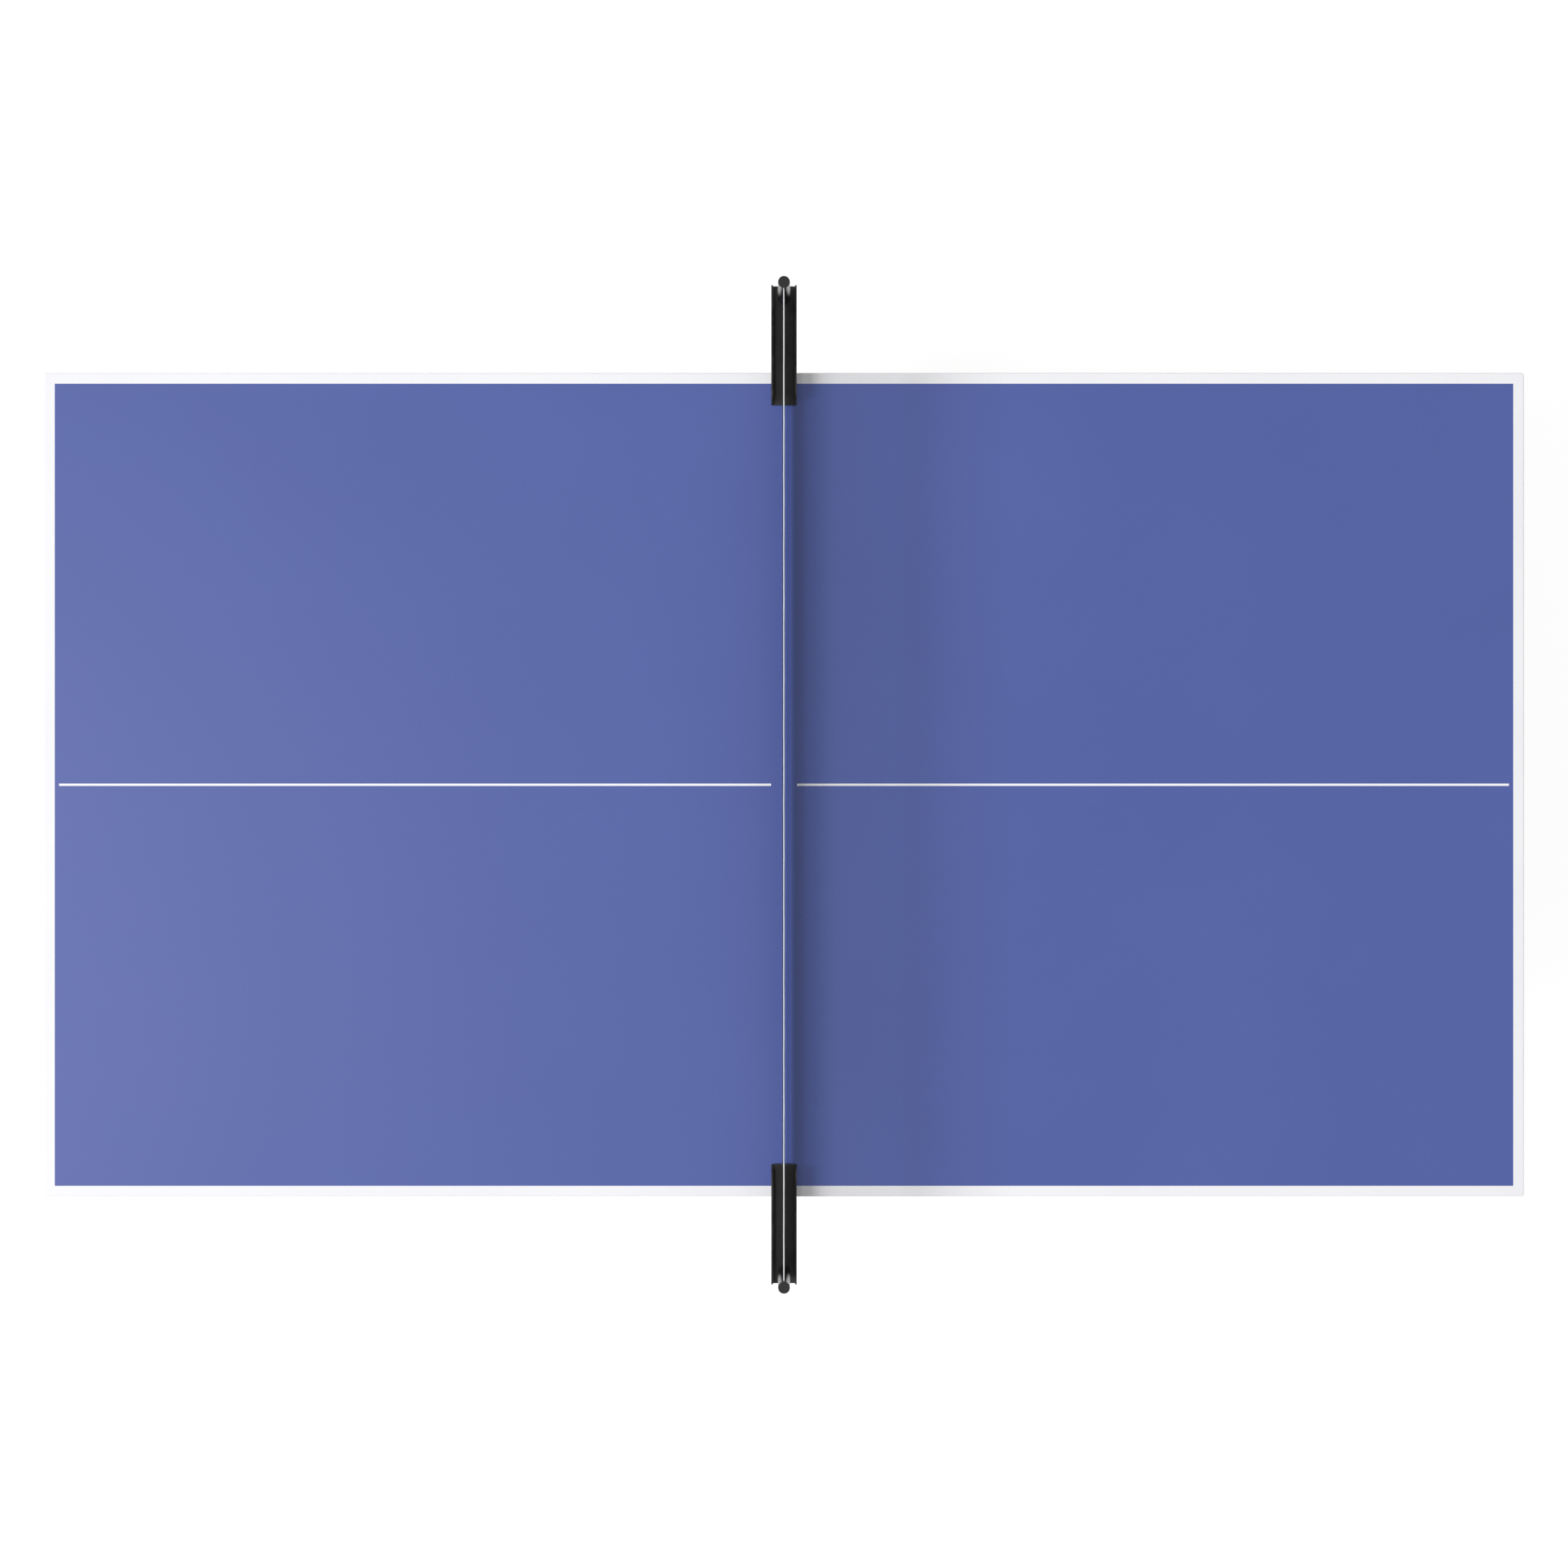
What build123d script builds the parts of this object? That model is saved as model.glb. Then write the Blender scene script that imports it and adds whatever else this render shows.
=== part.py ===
from build123d import *
import os
from math import cos, degrees, atan2, hypot, radians, sin, sqrt

# Full-size table tennis table whose two halves fold up over a rolling trolley.
# X runs along the table, Y across it and Z up; the origin is on the floor under the net.
# All lengths are in millimetres.

# Playing surface
TABLE_LENGTH = 2740.0
TABLE_WIDTH = 1525.0
TABLE_HEIGHT = 760.0
TOP_THICKNESS = 19.0
CORNER_RADIUS = 5.0
ARRIS_RADIUS = 1.5

# Clearances
RUNNING_CLEARANCE = 0.06
SEAT_CLEARANCE = 0.05
TURNING_GAP = 0.4
FOLD_CLEARANCE = 0.3
EAR_GAP = 2.0
STOP_CLEARANCE = 0.3

# Steel tube
TUBE_WALL = 1.5
TUBE_INSIDE_CORNER = 1.5
PLUG_HEAD = 2.0
PLUG_DEPTH = 12.0

# Frame under each half
RAIL_WIDTH = 20.0
RAIL_EDGE = 5.0
SIDE_RAIL_SETBACK = 112.5
END_RAIL_SETBACK = 60.0
MIDDLE_RAIL_SETBACK = 45.0
BRACE_RAIL_X = 700.0

# Pivots of the fold
FOLD_PIVOT_X = 400.0
LINK_OFFSET_X = 45.0
LINK_OFFSET_Z = 45.0
PIVOT_RADIUS = 5.0
PIVOT_HEX_RADIUS = 9.0
PIVOT_HEX_HEIGHT = 6.0
LINK_PIN_RADIUS = 4.0
LINK_HEX_RADIUS = 7.5
LINK_HEX_HEIGHT = 5.0
BUSH_WALL = 2.0
BUSH_FLANGE_RADIUS = 11.0
BUSH_FLANGE = 2.0
LINK_PLATE_THICKNESS = 4.0
LINK_PLATE_RADIUS = 13.0
LINK_ROD_WIDTH = 20.0
LINK_ROD_THICKNESS = 5.0

# Trolley
SIDE_TUBE_WIDTH = 40.0
UPRIGHT_DEPTH = 40.0
UPRIGHT_EAR = 13.0
BASE_RAIL_HEIGHT = 40.0
BASE_OVERHANG = 28.0
CROSS_TUBE_SIZE = 30.0
UPPER_TUBE_Z = 560.0
BUMPER_RADIUS = 8.0
BUMPER_DROP = 300.0

# Castors
WHEEL_RADIUS = 62.5
WHEEL_WIDTH = 32.0
WHEEL_TRAIL = 35.0
TYRE_DEPTH = 14.5
TYRE_SHOULDER = 6.0
RIM_DEPTH = 7.0
RIM_INSET = 1.0
WEB_THICKNESS = 6.0
BOSS_RADIUS = 12.0
WEB_HOLE_RADIUS = 8.0
WEB_HOLES = 5
CASTOR_SETOUT = 18.0
AXLE_RADIUS = 4.0
AXLE_HEX_RADIUS = 7.5
AXLE_HEX_HEIGHT = 5.0
FORK_STEEL = 3.0
FORK_SIDE_GAP = 3.0
FORK_END_RADIUS = 12.0
CROWN_GAP = 8.0
CROWN_THICKNESS = 5.0
CROWN_LENGTH = 44.0
KINGPIN_RADIUS = 6.0
KINGPIN_HEAD_RADIUS = 10.0
KINGPIN_HEAD = 4.5
KINGPIN_NUT_RADIUS = 10.5
KINGPIN_NUT = 8.0
KINGPIN_END = 3.0
RACE_RADIUS = 24.0
RACE_HEIGHT = 10.0

# Foot brakes, on the two front castors
BRAKE_PIVOT_ANGLE = 58.0
BRAKE_PIVOT_GAP = 11.0
BRAKE_EAR_RADIUS = 7.0
BRAKE_PIN_RADIUS = 3.0
BRAKE_BOSS_RADIUS = 6.0
BRAKE_TREAD_LENGTH = 46.0
BRAKE_TREAD_RADIUS = 3.5
BRAKE_TREAD_RISE = 8.0
BRAKE_SHOE_ANGLE = 33.0
BRAKE_SHOE_RADIUS = 4.0
BRAKE_SHOE_GAP = 7.0

# End legs and levelling feet
LEG_DEPTH = 40.0
LEG_BAR_SIZE = 25.0
LEG_BAR_LOW = 140.0
LEG_BAR_HIGH = 560.0
FOOT_INSET = 0.5
FOOT_TREAD = 8.0
FOOT_BEVEL = 2.0
FOOT_CONE = 9.0
FOOT_NECK_RADIUS = 10.0
FOOT_NECK = 9.0
FOOT_STUD_RADIUS = 5.0
FOOT_STUD_SHOWN = 24.0
FOOT_STUD_INSIDE = 30.0
FOOT_TRAVEL = 20.0
FOOT_HANG_GAP = 8.0
SOCKET_FLANGE = 4.0
SOCKET_DEPTH = 36.0

# Net set
NET_HEIGHT = 152.5
NET_GAP_BELOW = 8.0
NET_THICKNESS = 1.0
NET_COLUMNS = 50
NET_ROWS = 6
NET_STRAND = 2.5
NET_HEM = 6.0
NET_END_BAND = 16.0
TAPE_HEIGHT = 15.0
TAPE_THICKNESS = 3.0
TAPE_WALL = 0.8
CORD_RADIUS = 0.6
NET_ROD_RADIUS = 4.0
NET_ROD_SHORT = 8.0
BRACKET_WIDTH = 47.0
BRACKET_STEEL = 3.0
BRACKET_LIP = 16.0
BRACKET_BEND = 1.5
BRACKET_OVERLAP = 60.5
BRACKET_BEYOND_POST = 21.0
PAD_THICKNESS = 1.0
PAD_MARGIN = 2.0
PAD_CLEARANCE = 0.2
POST_OUTREACH = 138.5
POST_FOOT_RADIUS = 11.8
POST_TOP_RADIUS = 10.6
POST_WALL = 2.0
POST_SLOT = 6.0
POST_ABOVE_NET = 6.0
CAP_HEIGHT = 3.0
CAP_BEVEL = 0.8
CAP_SPIGOT = 5.0
ARM_RADIUS = 15.0
ARM_WALL = 2.0
ARM_BEND = 70.0
ARM_LEVEL = 555.0
ARM_OUTREACH = 85.0
ARM_FLANGE_LENGTH = 70.0
ARM_FLANGE_THICKNESS = 4.0
ARM_FLANGE_INSET = 1.5

# Heights and distances that follow from the sizes above
BUSH_RADIUS = PIVOT_RADIUS + BUSH_WALL
FOLD_DEPTH = TOP_THICKNESS + UPRIGHT_EAR + EAR_GAP
LEG_PIVOT_DEPTH = TOP_THICKNESS + LEG_DEPTH / 2 + EAR_GAP
FOLD_Z = TABLE_HEIGHT - FOLD_DEPTH
LEG_Z = TABLE_HEIGHT - LEG_PIVOT_DEPTH
# In the folded table each leg hangs over an upright, with its foot clear of it even when screwed out
LEG_PIVOT_X = FOLD_PIVOT_X + LEG_Z + FOOT_TRAVEL + UPRIGHT_EAR + FOOT_HANG_GAP
# The halves swing up side by side, so their inner corners need this much room at the net
MEETING_X = FOLD_PIVOT_X - sqrt((FOLD_PIVOT_X - FOLD_CLEARANCE) ** 2 - FOLD_DEPTH**2)

RAIL_HEIGHT = LEG_PIVOT_DEPTH - TOP_THICKNESS + BUSH_RADIUS + RAIL_EDGE
RAIL_Z = TABLE_HEIGHT - TOP_THICKNESS - RAIL_HEIGHT / 2
RAIL_OUTER_Y = TABLE_WIDTH / 2 - SIDE_RAIL_SETBACK
RAIL_INNER_Y = RAIL_OUTER_Y - RAIL_WIDTH
RAIL_START_X = MEETING_X + MIDDLE_RAIL_SETBACK
RAIL_END_X = TABLE_LENGTH / 2 - END_RAIL_SETBACK

# Layers across each side, from the half's rail outwards
SIDE_TUBE_INNER_Y = RAIL_OUTER_Y + BUSH_FLANGE + TURNING_GAP
SIDE_TUBE_Y = SIDE_TUBE_INNER_Y + SIDE_TUBE_WIDTH / 2
SIDE_TUBE_OUTER_Y = SIDE_TUBE_INNER_Y + SIDE_TUBE_WIDTH
PLATE_OUTER_Y = SIDE_TUBE_OUTER_Y + LINK_PLATE_THICKNESS
ROD_INNER_Y = PLATE_OUTER_Y + TURNING_GAP
ROD_OUTER_Y = ROD_INNER_Y + LINK_ROD_THICKNESS

UPRIGHT_INNER_X = FOLD_PIVOT_X - UPRIGHT_EAR
UPRIGHT_OUTER_X = UPRIGHT_INNER_X + UPRIGHT_DEPTH
UPRIGHT_X = UPRIGHT_INNER_X + UPRIGHT_DEPTH / 2
CASTOR_X = UPRIGHT_OUTER_X + CASTOR_SETOUT
BASE_END_X = CASTOR_X + BASE_OVERHANG

CROWN_BOTTOM = 2 * WHEEL_RADIUS + CROWN_GAP
CROWN_TOP = CROWN_BOTTOM + CROWN_THICKNESS
BASE_BOTTOM = CROWN_TOP + TURNING_GAP + RACE_HEIGHT
BASE_TOP = BASE_BOTTOM + BASE_RAIL_HEIGHT
BASE_Z = BASE_BOTTOM + BASE_RAIL_HEIGHT / 2
CHEEK_INNER_Y = WHEEL_WIDTH / 2 + FORK_SIDE_GAP
CHEEK_OUTER_Y = CHEEK_INNER_Y + FORK_STEEL

LEG_OUTER_X = LEG_PIVOT_X + LEG_DEPTH / 2
# A foot is no wider than its leg, so it passes the rail and the board when the half is folded
FOOT_RADIUS = min(LEG_DEPTH, SIDE_TUBE_WIDTH) / 2 - FOOT_INSET
FOOT_HEIGHT = FOOT_TREAD + FOOT_CONE + FOOT_NECK
LEG_BOTTOM = FOOT_HEIGHT + FOOT_STUD_SHOWN + SOCKET_FLANGE

NET_TOP = TABLE_HEIGHT + NET_HEIGHT
TAPE_FOLD_RADIUS = 0.4 * TAPE_THICKNESS
NET_BOTTOM = TABLE_HEIGHT + NET_GAP_BELOW
POST_Y = TABLE_WIDTH / 2 + POST_OUTREACH
NET_END_Y = POST_Y - NET_ROD_RADIUS - SEAT_CLEARANCE
BRACKET_BOTTOM = TABLE_HEIGHT + PAD_CLEARANCE + PAD_THICKNESS
BRACKET_FLOOR = BRACKET_BOTTOM + BRACKET_STEEL
BRACKET_INNER_Y = TABLE_WIDTH / 2 - BRACKET_OVERLAP
BRACKET_OUTER_Y = POST_Y + BRACKET_BEYOND_POST
POST_TOP = NET_TOP + POST_ABOVE_NET
ARM_Y = TABLE_WIDTH / 2 + ARM_OUTREACH

SIDES = {"front": -1, "back": 1}
ENDS = {"left": -1, "right": 1}
BRAKED_SIDE = "front"


def to_corner(shape, end, side):
    """Carry a piece made for the right-hand back corner to one of the four corners."""
    if ENDS[end] < 0:
        shape = mirror(shape, about=Plane.YZ)
    if SIDES[side] < 0:
        shape = mirror(shape, about=Plane.XZ)
    return shape


def to_end(shape, end):
    """Carry a piece made for the right-hand end to the given end."""
    return to_corner(shape, end, "back")


def to_side(shape, side):
    """Carry a piece made for the back to the given side."""
    return to_corner(shape, "right", side)


def both_sides(shape):
    return [to_side(shape, side) for side in SIDES]


def all_corners(shape):
    return [to_corner(shape, end, side) for end in ENDS for side in SIDES]


def tube(plane, length, width, height):
    """Rectangular steel tube, open at both ends, centred on the plane's origin and square to it."""
    outer = RectangleRounded(width, height, TUBE_INSIDE_CORNER + TUBE_WALL)
    inner = RectangleRounded(width - 2 * TUBE_WALL, height - 2 * TUBE_WALL, TUBE_INSIDE_CORNER)
    return extrude(plane * (outer - inner), amount=length / 2, both=True)


def tube_plug(width, height):
    """Plastic plug for the end of a tube: a flat head on XY and a spigot that goes down the bore."""
    bore = 2 * (TUBE_WALL + SEAT_CLEARANCE)
    head = extrude(RectangleRounded(width, height, TUBE_INSIDE_CORNER + TUBE_WALL), amount=PLUG_HEAD)
    spigot = RectangleRounded(width - bore, height - bore, TUBE_INSIDE_CORNER)
    return head + extrude(spigot, amount=-PLUG_DEPTH)


def bar_across(radius, x, z, start_y, end_y):
    """Round bar that runs across the table."""
    return Pos(x, (start_y + end_y) / 2, z) * Rot(90, 0, 0) * Cylinder(radius, end_y - start_y)


def hex_across(radius, x, z, start_y, end_y):
    """Hexagon head or nut on an axis that runs across the table."""
    middle = Plane(origin=(x, (start_y + end_y) / 2, z), x_dir=(1, 0, 0), z_dir=(0, -1, 0))
    return extrude(middle * RegularPolygon(radius, 6), amount=(end_y - start_y) / 2, both=True)


def plate_across(profile, start_y, end_y):
    """Flat plate cut to a profile in X and Z, standing between two distances across the table."""
    middle = Plane(origin=(0, (start_y + end_y) / 2, 0), x_dir=(1, 0, 0), z_dir=(0, -1, 0))
    return extrude(middle * profile, amount=(end_y - start_y) / 2, both=True)


def round_ended_strip(start, end, radius):
    """Strip between two points in X and Z with a round end about each."""
    run_x = end[0] - start[0]
    run_z = end[1] - start[1]
    strip = SlotCenterToCenter(hypot(run_x, run_z), 2 * radius, rotation=degrees(atan2(run_z, run_x)))
    return Pos((start[0] + end[0]) / 2, (start[1] + end[1]) / 2) * strip


def hole_at(point, radius):
    return Pos(point[0], point[1]) * Circle(radius)


def turned(*outline):
    """Solid of revolution about Z from an outline of radius and height."""
    return revolve(Plane.XZ * make_face(Polyline(*outline, close=True)), axis=Axis.Z)


FOLD_PIVOT = (FOLD_PIVOT_X, FOLD_Z)
FOLD_LINK = (FOLD_PIVOT_X + LINK_OFFSET_X, FOLD_Z - LINK_OFFSET_Z)
LEG_PIVOT = (LEG_PIVOT_X, LEG_Z)
LEG_LINK = (LEG_PIVOT_X + LINK_OFFSET_X, LEG_Z - LINK_OFFSET_Z)


def top_board():
    """Half of the board, with round outer corners and a softened upper arris."""
    length = TABLE_LENGTH / 2 - MEETING_X
    middle = Pos(MEETING_X + length / 2, 0, TABLE_HEIGHT - TOP_THICKNESS / 2)
    board = middle * Box(length, TABLE_WIDTH, TOP_THICKNESS)
    board = fillet(board.edges().filter_by(Axis.Z).group_by(Axis.X)[-1], CORNER_RADIUS)
    return fillet(board.faces().sort_by(Axis.Z)[-1].edges(), ARRIS_RADIUS)


def mitred(rail, *corners):
    """Rail cut to an outline seen from above, which gives it its mitres."""
    outline = extrude(make_face(Polyline(*corners, close=True)), amount=TABLE_HEIGHT)
    return rail & outline


def side_rail():
    """Long rail of a half's frame, mitred at both ends and bored for the two pivot bushes."""
    length = RAIL_END_X - RAIL_START_X
    middle = Plane(
        origin=(RAIL_START_X + length / 2, RAIL_OUTER_Y - RAIL_WIDTH / 2, RAIL_Z),
        x_dir=(0, 1, 0),
        z_dir=(1, 0, 0),
    )
    rail = mitred(
        tube(middle, length, RAIL_WIDTH, RAIL_HEIGHT),
        (RAIL_START_X, RAIL_OUTER_Y),
        (RAIL_END_X, RAIL_OUTER_Y),
        (RAIL_END_X - RAIL_WIDTH, RAIL_INNER_Y),
        (RAIL_START_X + RAIL_WIDTH, RAIL_INNER_Y),
    )
    for x, z in (FOLD_PIVOT, LEG_PIVOT):
        rail -= bar_across(BUSH_RADIUS + SEAT_CLEARANCE, x, z, RAIL_INNER_Y, RAIL_OUTER_Y)
    return rail


def cross_rail(x):
    """Rail from side rail to side rail, with its middle at the given distance along the table."""
    middle = Plane(origin=(x, 0, RAIL_Z), x_dir=(1, 0, 0), z_dir=(0, -1, 0))
    return tube(middle, 2 * RAIL_INNER_Y, RAIL_WIDTH, RAIL_HEIGHT)


def end_cross_rail(outer_x, inner_x):
    """Rail that closes one end of a half's frame, mitred into both side rails."""
    middle = Plane(origin=((outer_x + inner_x) / 2, 0, RAIL_Z), x_dir=(1, 0, 0), z_dir=(0, -1, 0))
    return mitred(
        tube(middle, 2 * RAIL_OUTER_Y, RAIL_WIDTH, RAIL_HEIGHT),
        (outer_x, -RAIL_OUTER_Y),
        (outer_x, RAIL_OUTER_Y),
        (inner_x, RAIL_INNER_Y),
        (inner_x, -RAIL_INNER_Y),
    )


def pivot_bush(point):
    """Flanged bush through a side rail; its flange keeps the turning tube off the rail."""
    x, z = point
    bush = bar_across(BUSH_RADIUS, x, z, RAIL_INNER_Y, RAIL_OUTER_Y)
    bush += bar_across(BUSH_FLANGE_RADIUS, x, z, RAIL_OUTER_Y, RAIL_OUTER_Y + BUSH_FLANGE)
    bore = PIVOT_RADIUS + RUNNING_CLEARANCE
    return bush - bar_across(bore, x, z, RAIL_INNER_Y, RAIL_OUTER_Y + BUSH_FLANGE)


def pivot_bolt(point):
    """Bolt through link plate, tube and bush, with its nut inside the side rail."""
    x, z = point
    nut_face = RAIL_INNER_Y - TURNING_GAP
    bolt = bar_across(PIVOT_RADIUS, x, z, nut_face - PIVOT_HEX_HEIGHT, PLATE_OUTER_Y)
    bolt += hex_across(PIVOT_HEX_RADIUS, x, z, nut_face - PIVOT_HEX_HEIGHT, nut_face)
    return bolt + hex_across(PIVOT_HEX_RADIUS, x, z, PLATE_OUTER_Y, PLATE_OUTER_Y + PIVOT_HEX_HEIGHT)


def link_pin(point):
    """Shoulder pin that joins a link rod to its plate."""
    x, z = point
    head_face = ROD_OUTER_Y + TURNING_GAP
    pin = bar_across(LINK_PIN_RADIUS, x, z, SIDE_TUBE_OUTER_Y - LINK_HEX_HEIGHT, head_face)
    pin += hex_across(LINK_HEX_RADIUS, x, z, SIDE_TUBE_OUTER_Y - LINK_HEX_HEIGHT, SIDE_TUBE_OUTER_Y)
    return pin + hex_across(LINK_HEX_RADIUS, x, z, head_face, head_face + LINK_HEX_HEIGHT)


def link_plate(pivot, link):
    """Plate welded to the outside of an upright or a leg that carries the link pin."""
    profile = round_ended_strip(pivot, link, LINK_PLATE_RADIUS)
    profile -= hole_at(pivot, PIVOT_RADIUS + SEAT_CLEARANCE)
    profile -= hole_at(link, LINK_PIN_RADIUS + SEAT_CLEARANCE)
    return plate_across(profile, SIDE_TUBE_OUTER_Y, PLATE_OUTER_Y)


def link_rod():
    """Flat bar that keeps the end legs upright while the half folds."""
    profile = round_ended_strip(FOLD_LINK, LEG_LINK, LINK_ROD_WIDTH / 2)
    for point in (FOLD_LINK, LEG_LINK):
        profile -= hole_at(point, LINK_PIN_RADIUS + RUNNING_CLEARANCE)
    return plate_across(profile, ROD_INNER_Y, ROD_OUTER_Y)


def upright():
    """Trolley upright, rounded about the fold pivot so that the board swings past it."""
    height = FOLD_Z + UPRIGHT_EAR - BASE_TOP
    middle = Plane.XY.offset(BASE_TOP + height / 2)
    post = Pos(UPRIGHT_X, SIDE_TUBE_Y) * tube(middle, height, UPRIGHT_DEPTH, SIDE_TUBE_WIDTH)
    corner = Pos(FOLD_PIVOT_X - UPRIGHT_EAR / 2, FOLD_Z + UPRIGHT_EAR / 2) * Rectangle(UPRIGHT_EAR, UPRIGHT_EAR)
    corner -= hole_at(FOLD_PIVOT, UPRIGHT_EAR)
    post -= plate_across(corner, SIDE_TUBE_INNER_Y, SIDE_TUBE_OUTER_Y)
    bolt_hole = PIVOT_RADIUS + SEAT_CLEARANCE
    return post - bar_across(bolt_hole, *FOLD_PIVOT, SIDE_TUBE_INNER_Y, SIDE_TUBE_OUTER_Y)


def stop_bumper():
    """Rubber button on the upright that stops the folded board."""
    thickness = EAR_GAP - STOP_CLEARANCE
    place = Pos(UPRIGHT_INNER_X - thickness / 2, SIDE_TUBE_Y, FOLD_Z - BUMPER_DROP)
    return place * Rot(0, 90, 0) * Cylinder(BUMPER_RADIUS, thickness)


def base_rail():
    """Long rail of the trolley, with a hole through it for each castor's stem."""
    middle = Plane(origin=(0, SIDE_TUBE_Y, BASE_Z), x_dir=(0, 1, 0), z_dir=(1, 0, 0))
    rail = tube(middle, 2 * BASE_END_X, SIDE_TUBE_WIDTH, BASE_RAIL_HEIGHT)
    stem_hole = Cylinder(KINGPIN_RADIUS + SEAT_CLEARANCE, BASE_RAIL_HEIGHT)
    for direction in ENDS.values():
        rail -= Pos(direction * CASTOR_X, SIDE_TUBE_Y, BASE_Z) * stem_hole
    return rail


def cross_tube(x, z, half_length, size):
    """Square tube across the trolley or a pair of legs."""
    middle = Plane(origin=(x, 0, z), x_dir=(1, 0, 0), z_dir=(0, -1, 0))
    return tube(middle, 2 * half_length, size, size)


def cross_tube_plug(x, z, size):
    return Pos(x, SIDE_TUBE_OUTER_Y, z) * Rot(-90, 0, 0) * tube_plug(size, size)


def base_rail_plug():
    plug = tube_plug(BASE_RAIL_HEIGHT, SIDE_TUBE_WIDTH)
    return Pos(BASE_END_X, SIDE_TUBE_Y, BASE_Z) * Rot(0, 90, 0) * plug


def kingpin():
    """Castor stem with the race that bears on the fork, its retaining head and its hexagon nut."""
    head_top = CROWN_BOTTOM - TURNING_GAP
    pin = turned(
        (0, head_top - KINGPIN_HEAD),
        (KINGPIN_HEAD_RADIUS, head_top - KINGPIN_HEAD),
        (KINGPIN_HEAD_RADIUS, head_top),
        (KINGPIN_RADIUS, head_top),
        (KINGPIN_RADIUS, CROWN_TOP + TURNING_GAP),
        (RACE_RADIUS, CROWN_TOP + TURNING_GAP),
        (RACE_RADIUS, BASE_BOTTOM),
        (KINGPIN_RADIUS, BASE_BOTTOM),
        (KINGPIN_RADIUS, BASE_TOP + KINGPIN_NUT + KINGPIN_END),
        (0, BASE_TOP + KINGPIN_NUT + KINGPIN_END),
    )
    nut = Plane.XY.offset(BASE_TOP) * RegularPolygon(KINGPIN_NUT_RADIUS, 6)
    pin += extrude(nut, amount=KINGPIN_NUT)
    return Pos(CASTOR_X, SIDE_TUBE_Y) * pin


AXLE = (-WHEEL_TRAIL, WHEEL_RADIUS)


def from_axle(distance, angle):
    """Point in X and Z at a distance from the axle, the angle rising from the trailing side."""
    return (AXLE[0] - distance * cos(radians(angle)), AXLE[1] + distance * sin(radians(angle)))


BRAKE_PIVOT = from_axle(WHEEL_RADIUS + BRAKE_PIVOT_GAP, BRAKE_PIVOT_ANGLE)
BRAKE_SHOE = from_axle(WHEEL_RADIUS + BRAKE_SHOE_GAP + BRAKE_SHOE_RADIUS, BRAKE_SHOE_ANGLE)
BRAKE_TREAD = (BRAKE_PIVOT[0] - BRAKE_TREAD_LENGTH, BRAKE_PIVOT[1] + BRAKE_TREAD_RISE)


def castor_fork(braked):
    """Pressed steel fork: a crown round the kingpin and two cheeks that hold the axle."""
    cheek_outline = Pos(0, (CROWN_BOTTOM + CROWN_TOP) / 2) * Rectangle(CROWN_LENGTH, CROWN_THICKNESS)
    corners = cheek_outline.edges() + hole_at(AXLE, FORK_END_RADIUS).edges()
    if braked:
        corners += hole_at(BRAKE_PIVOT, BRAKE_EAR_RADIUS).edges()
    cheek = make_hull(corners) - hole_at(AXLE, AXLE_RADIUS + SEAT_CLEARANCE)
    if braked:
        cheek -= hole_at(BRAKE_PIVOT, BRAKE_PIN_RADIUS + SEAT_CLEARANCE)
    crown = Plane.XY.offset(CROWN_BOTTOM) * Rectangle(CROWN_LENGTH, 2 * CHEEK_OUTER_Y)
    fork = extrude(crown, amount=CROWN_THICKNESS)
    fork += plate_across(cheek, CHEEK_INNER_Y, CHEEK_OUTER_Y)
    fork += plate_across(cheek, -CHEEK_OUTER_Y, -CHEEK_INNER_Y)
    bore = Cylinder(KINGPIN_RADIUS + RUNNING_CLEARANCE, CROWN_THICKNESS)
    return fork - Pos(0, 0, CROWN_BOTTOM + CROWN_THICKNESS / 2) * bore


def castor_axle():
    """Axle bolt through both cheeks and the hub."""
    axle = bar_across(AXLE_RADIUS, *AXLE, -CHEEK_OUTER_Y, CHEEK_OUTER_Y)
    axle += hex_across(AXLE_HEX_RADIUS, *AXLE, CHEEK_OUTER_Y, CHEEK_OUTER_Y + AXLE_HEX_HEIGHT)
    return axle + hex_across(AXLE_HEX_RADIUS, *AXLE, -CHEEK_OUTER_Y - AXLE_HEX_HEIGHT, -CHEEK_OUTER_Y)


def brake_pin():
    return bar_across(BRAKE_PIN_RADIUS, *BRAKE_PIVOT, -CHEEK_OUTER_Y, CHEEK_OUTER_Y)


def on_axle(shape):
    """Set a wheel part, turned about Z, on the axle."""
    return Pos(AXLE[0], 0, AXLE[1]) * Rot(90, 0, 0) * shape


def wheel_hub():
    """Moulded wheel: rim, pierced web and a boss that spaces it between the cheeks."""
    rim_radius = WHEEL_RADIUS - TYRE_DEPTH
    rim_half = WHEEL_WIDTH / 2 - RIM_INSET
    boss_half = CHEEK_INNER_Y - TURNING_GAP
    web_half = WEB_THICKNESS / 2
    bore = AXLE_RADIUS + RUNNING_CLEARANCE
    inner_rim = rim_radius - RIM_DEPTH
    hub = turned(
        (bore, -boss_half),
        (BOSS_RADIUS, -boss_half),
        (BOSS_RADIUS, -web_half),
        (inner_rim, -web_half),
        (inner_rim, -rim_half),
        (rim_radius, -rim_half),
        (rim_radius, rim_half),
        (inner_rim, rim_half),
        (inner_rim, web_half),
        (BOSS_RADIUS, web_half),
        (BOSS_RADIUS, boss_half),
        (bore, boss_half),
    )
    ring = PolarLocations((BOSS_RADIUS + inner_rim) / 2, WEB_HOLES)
    hub -= [spot * Cylinder(WEB_HOLE_RADIUS, WEB_THICKNESS) for spot in ring]
    return on_axle(hub)


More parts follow.
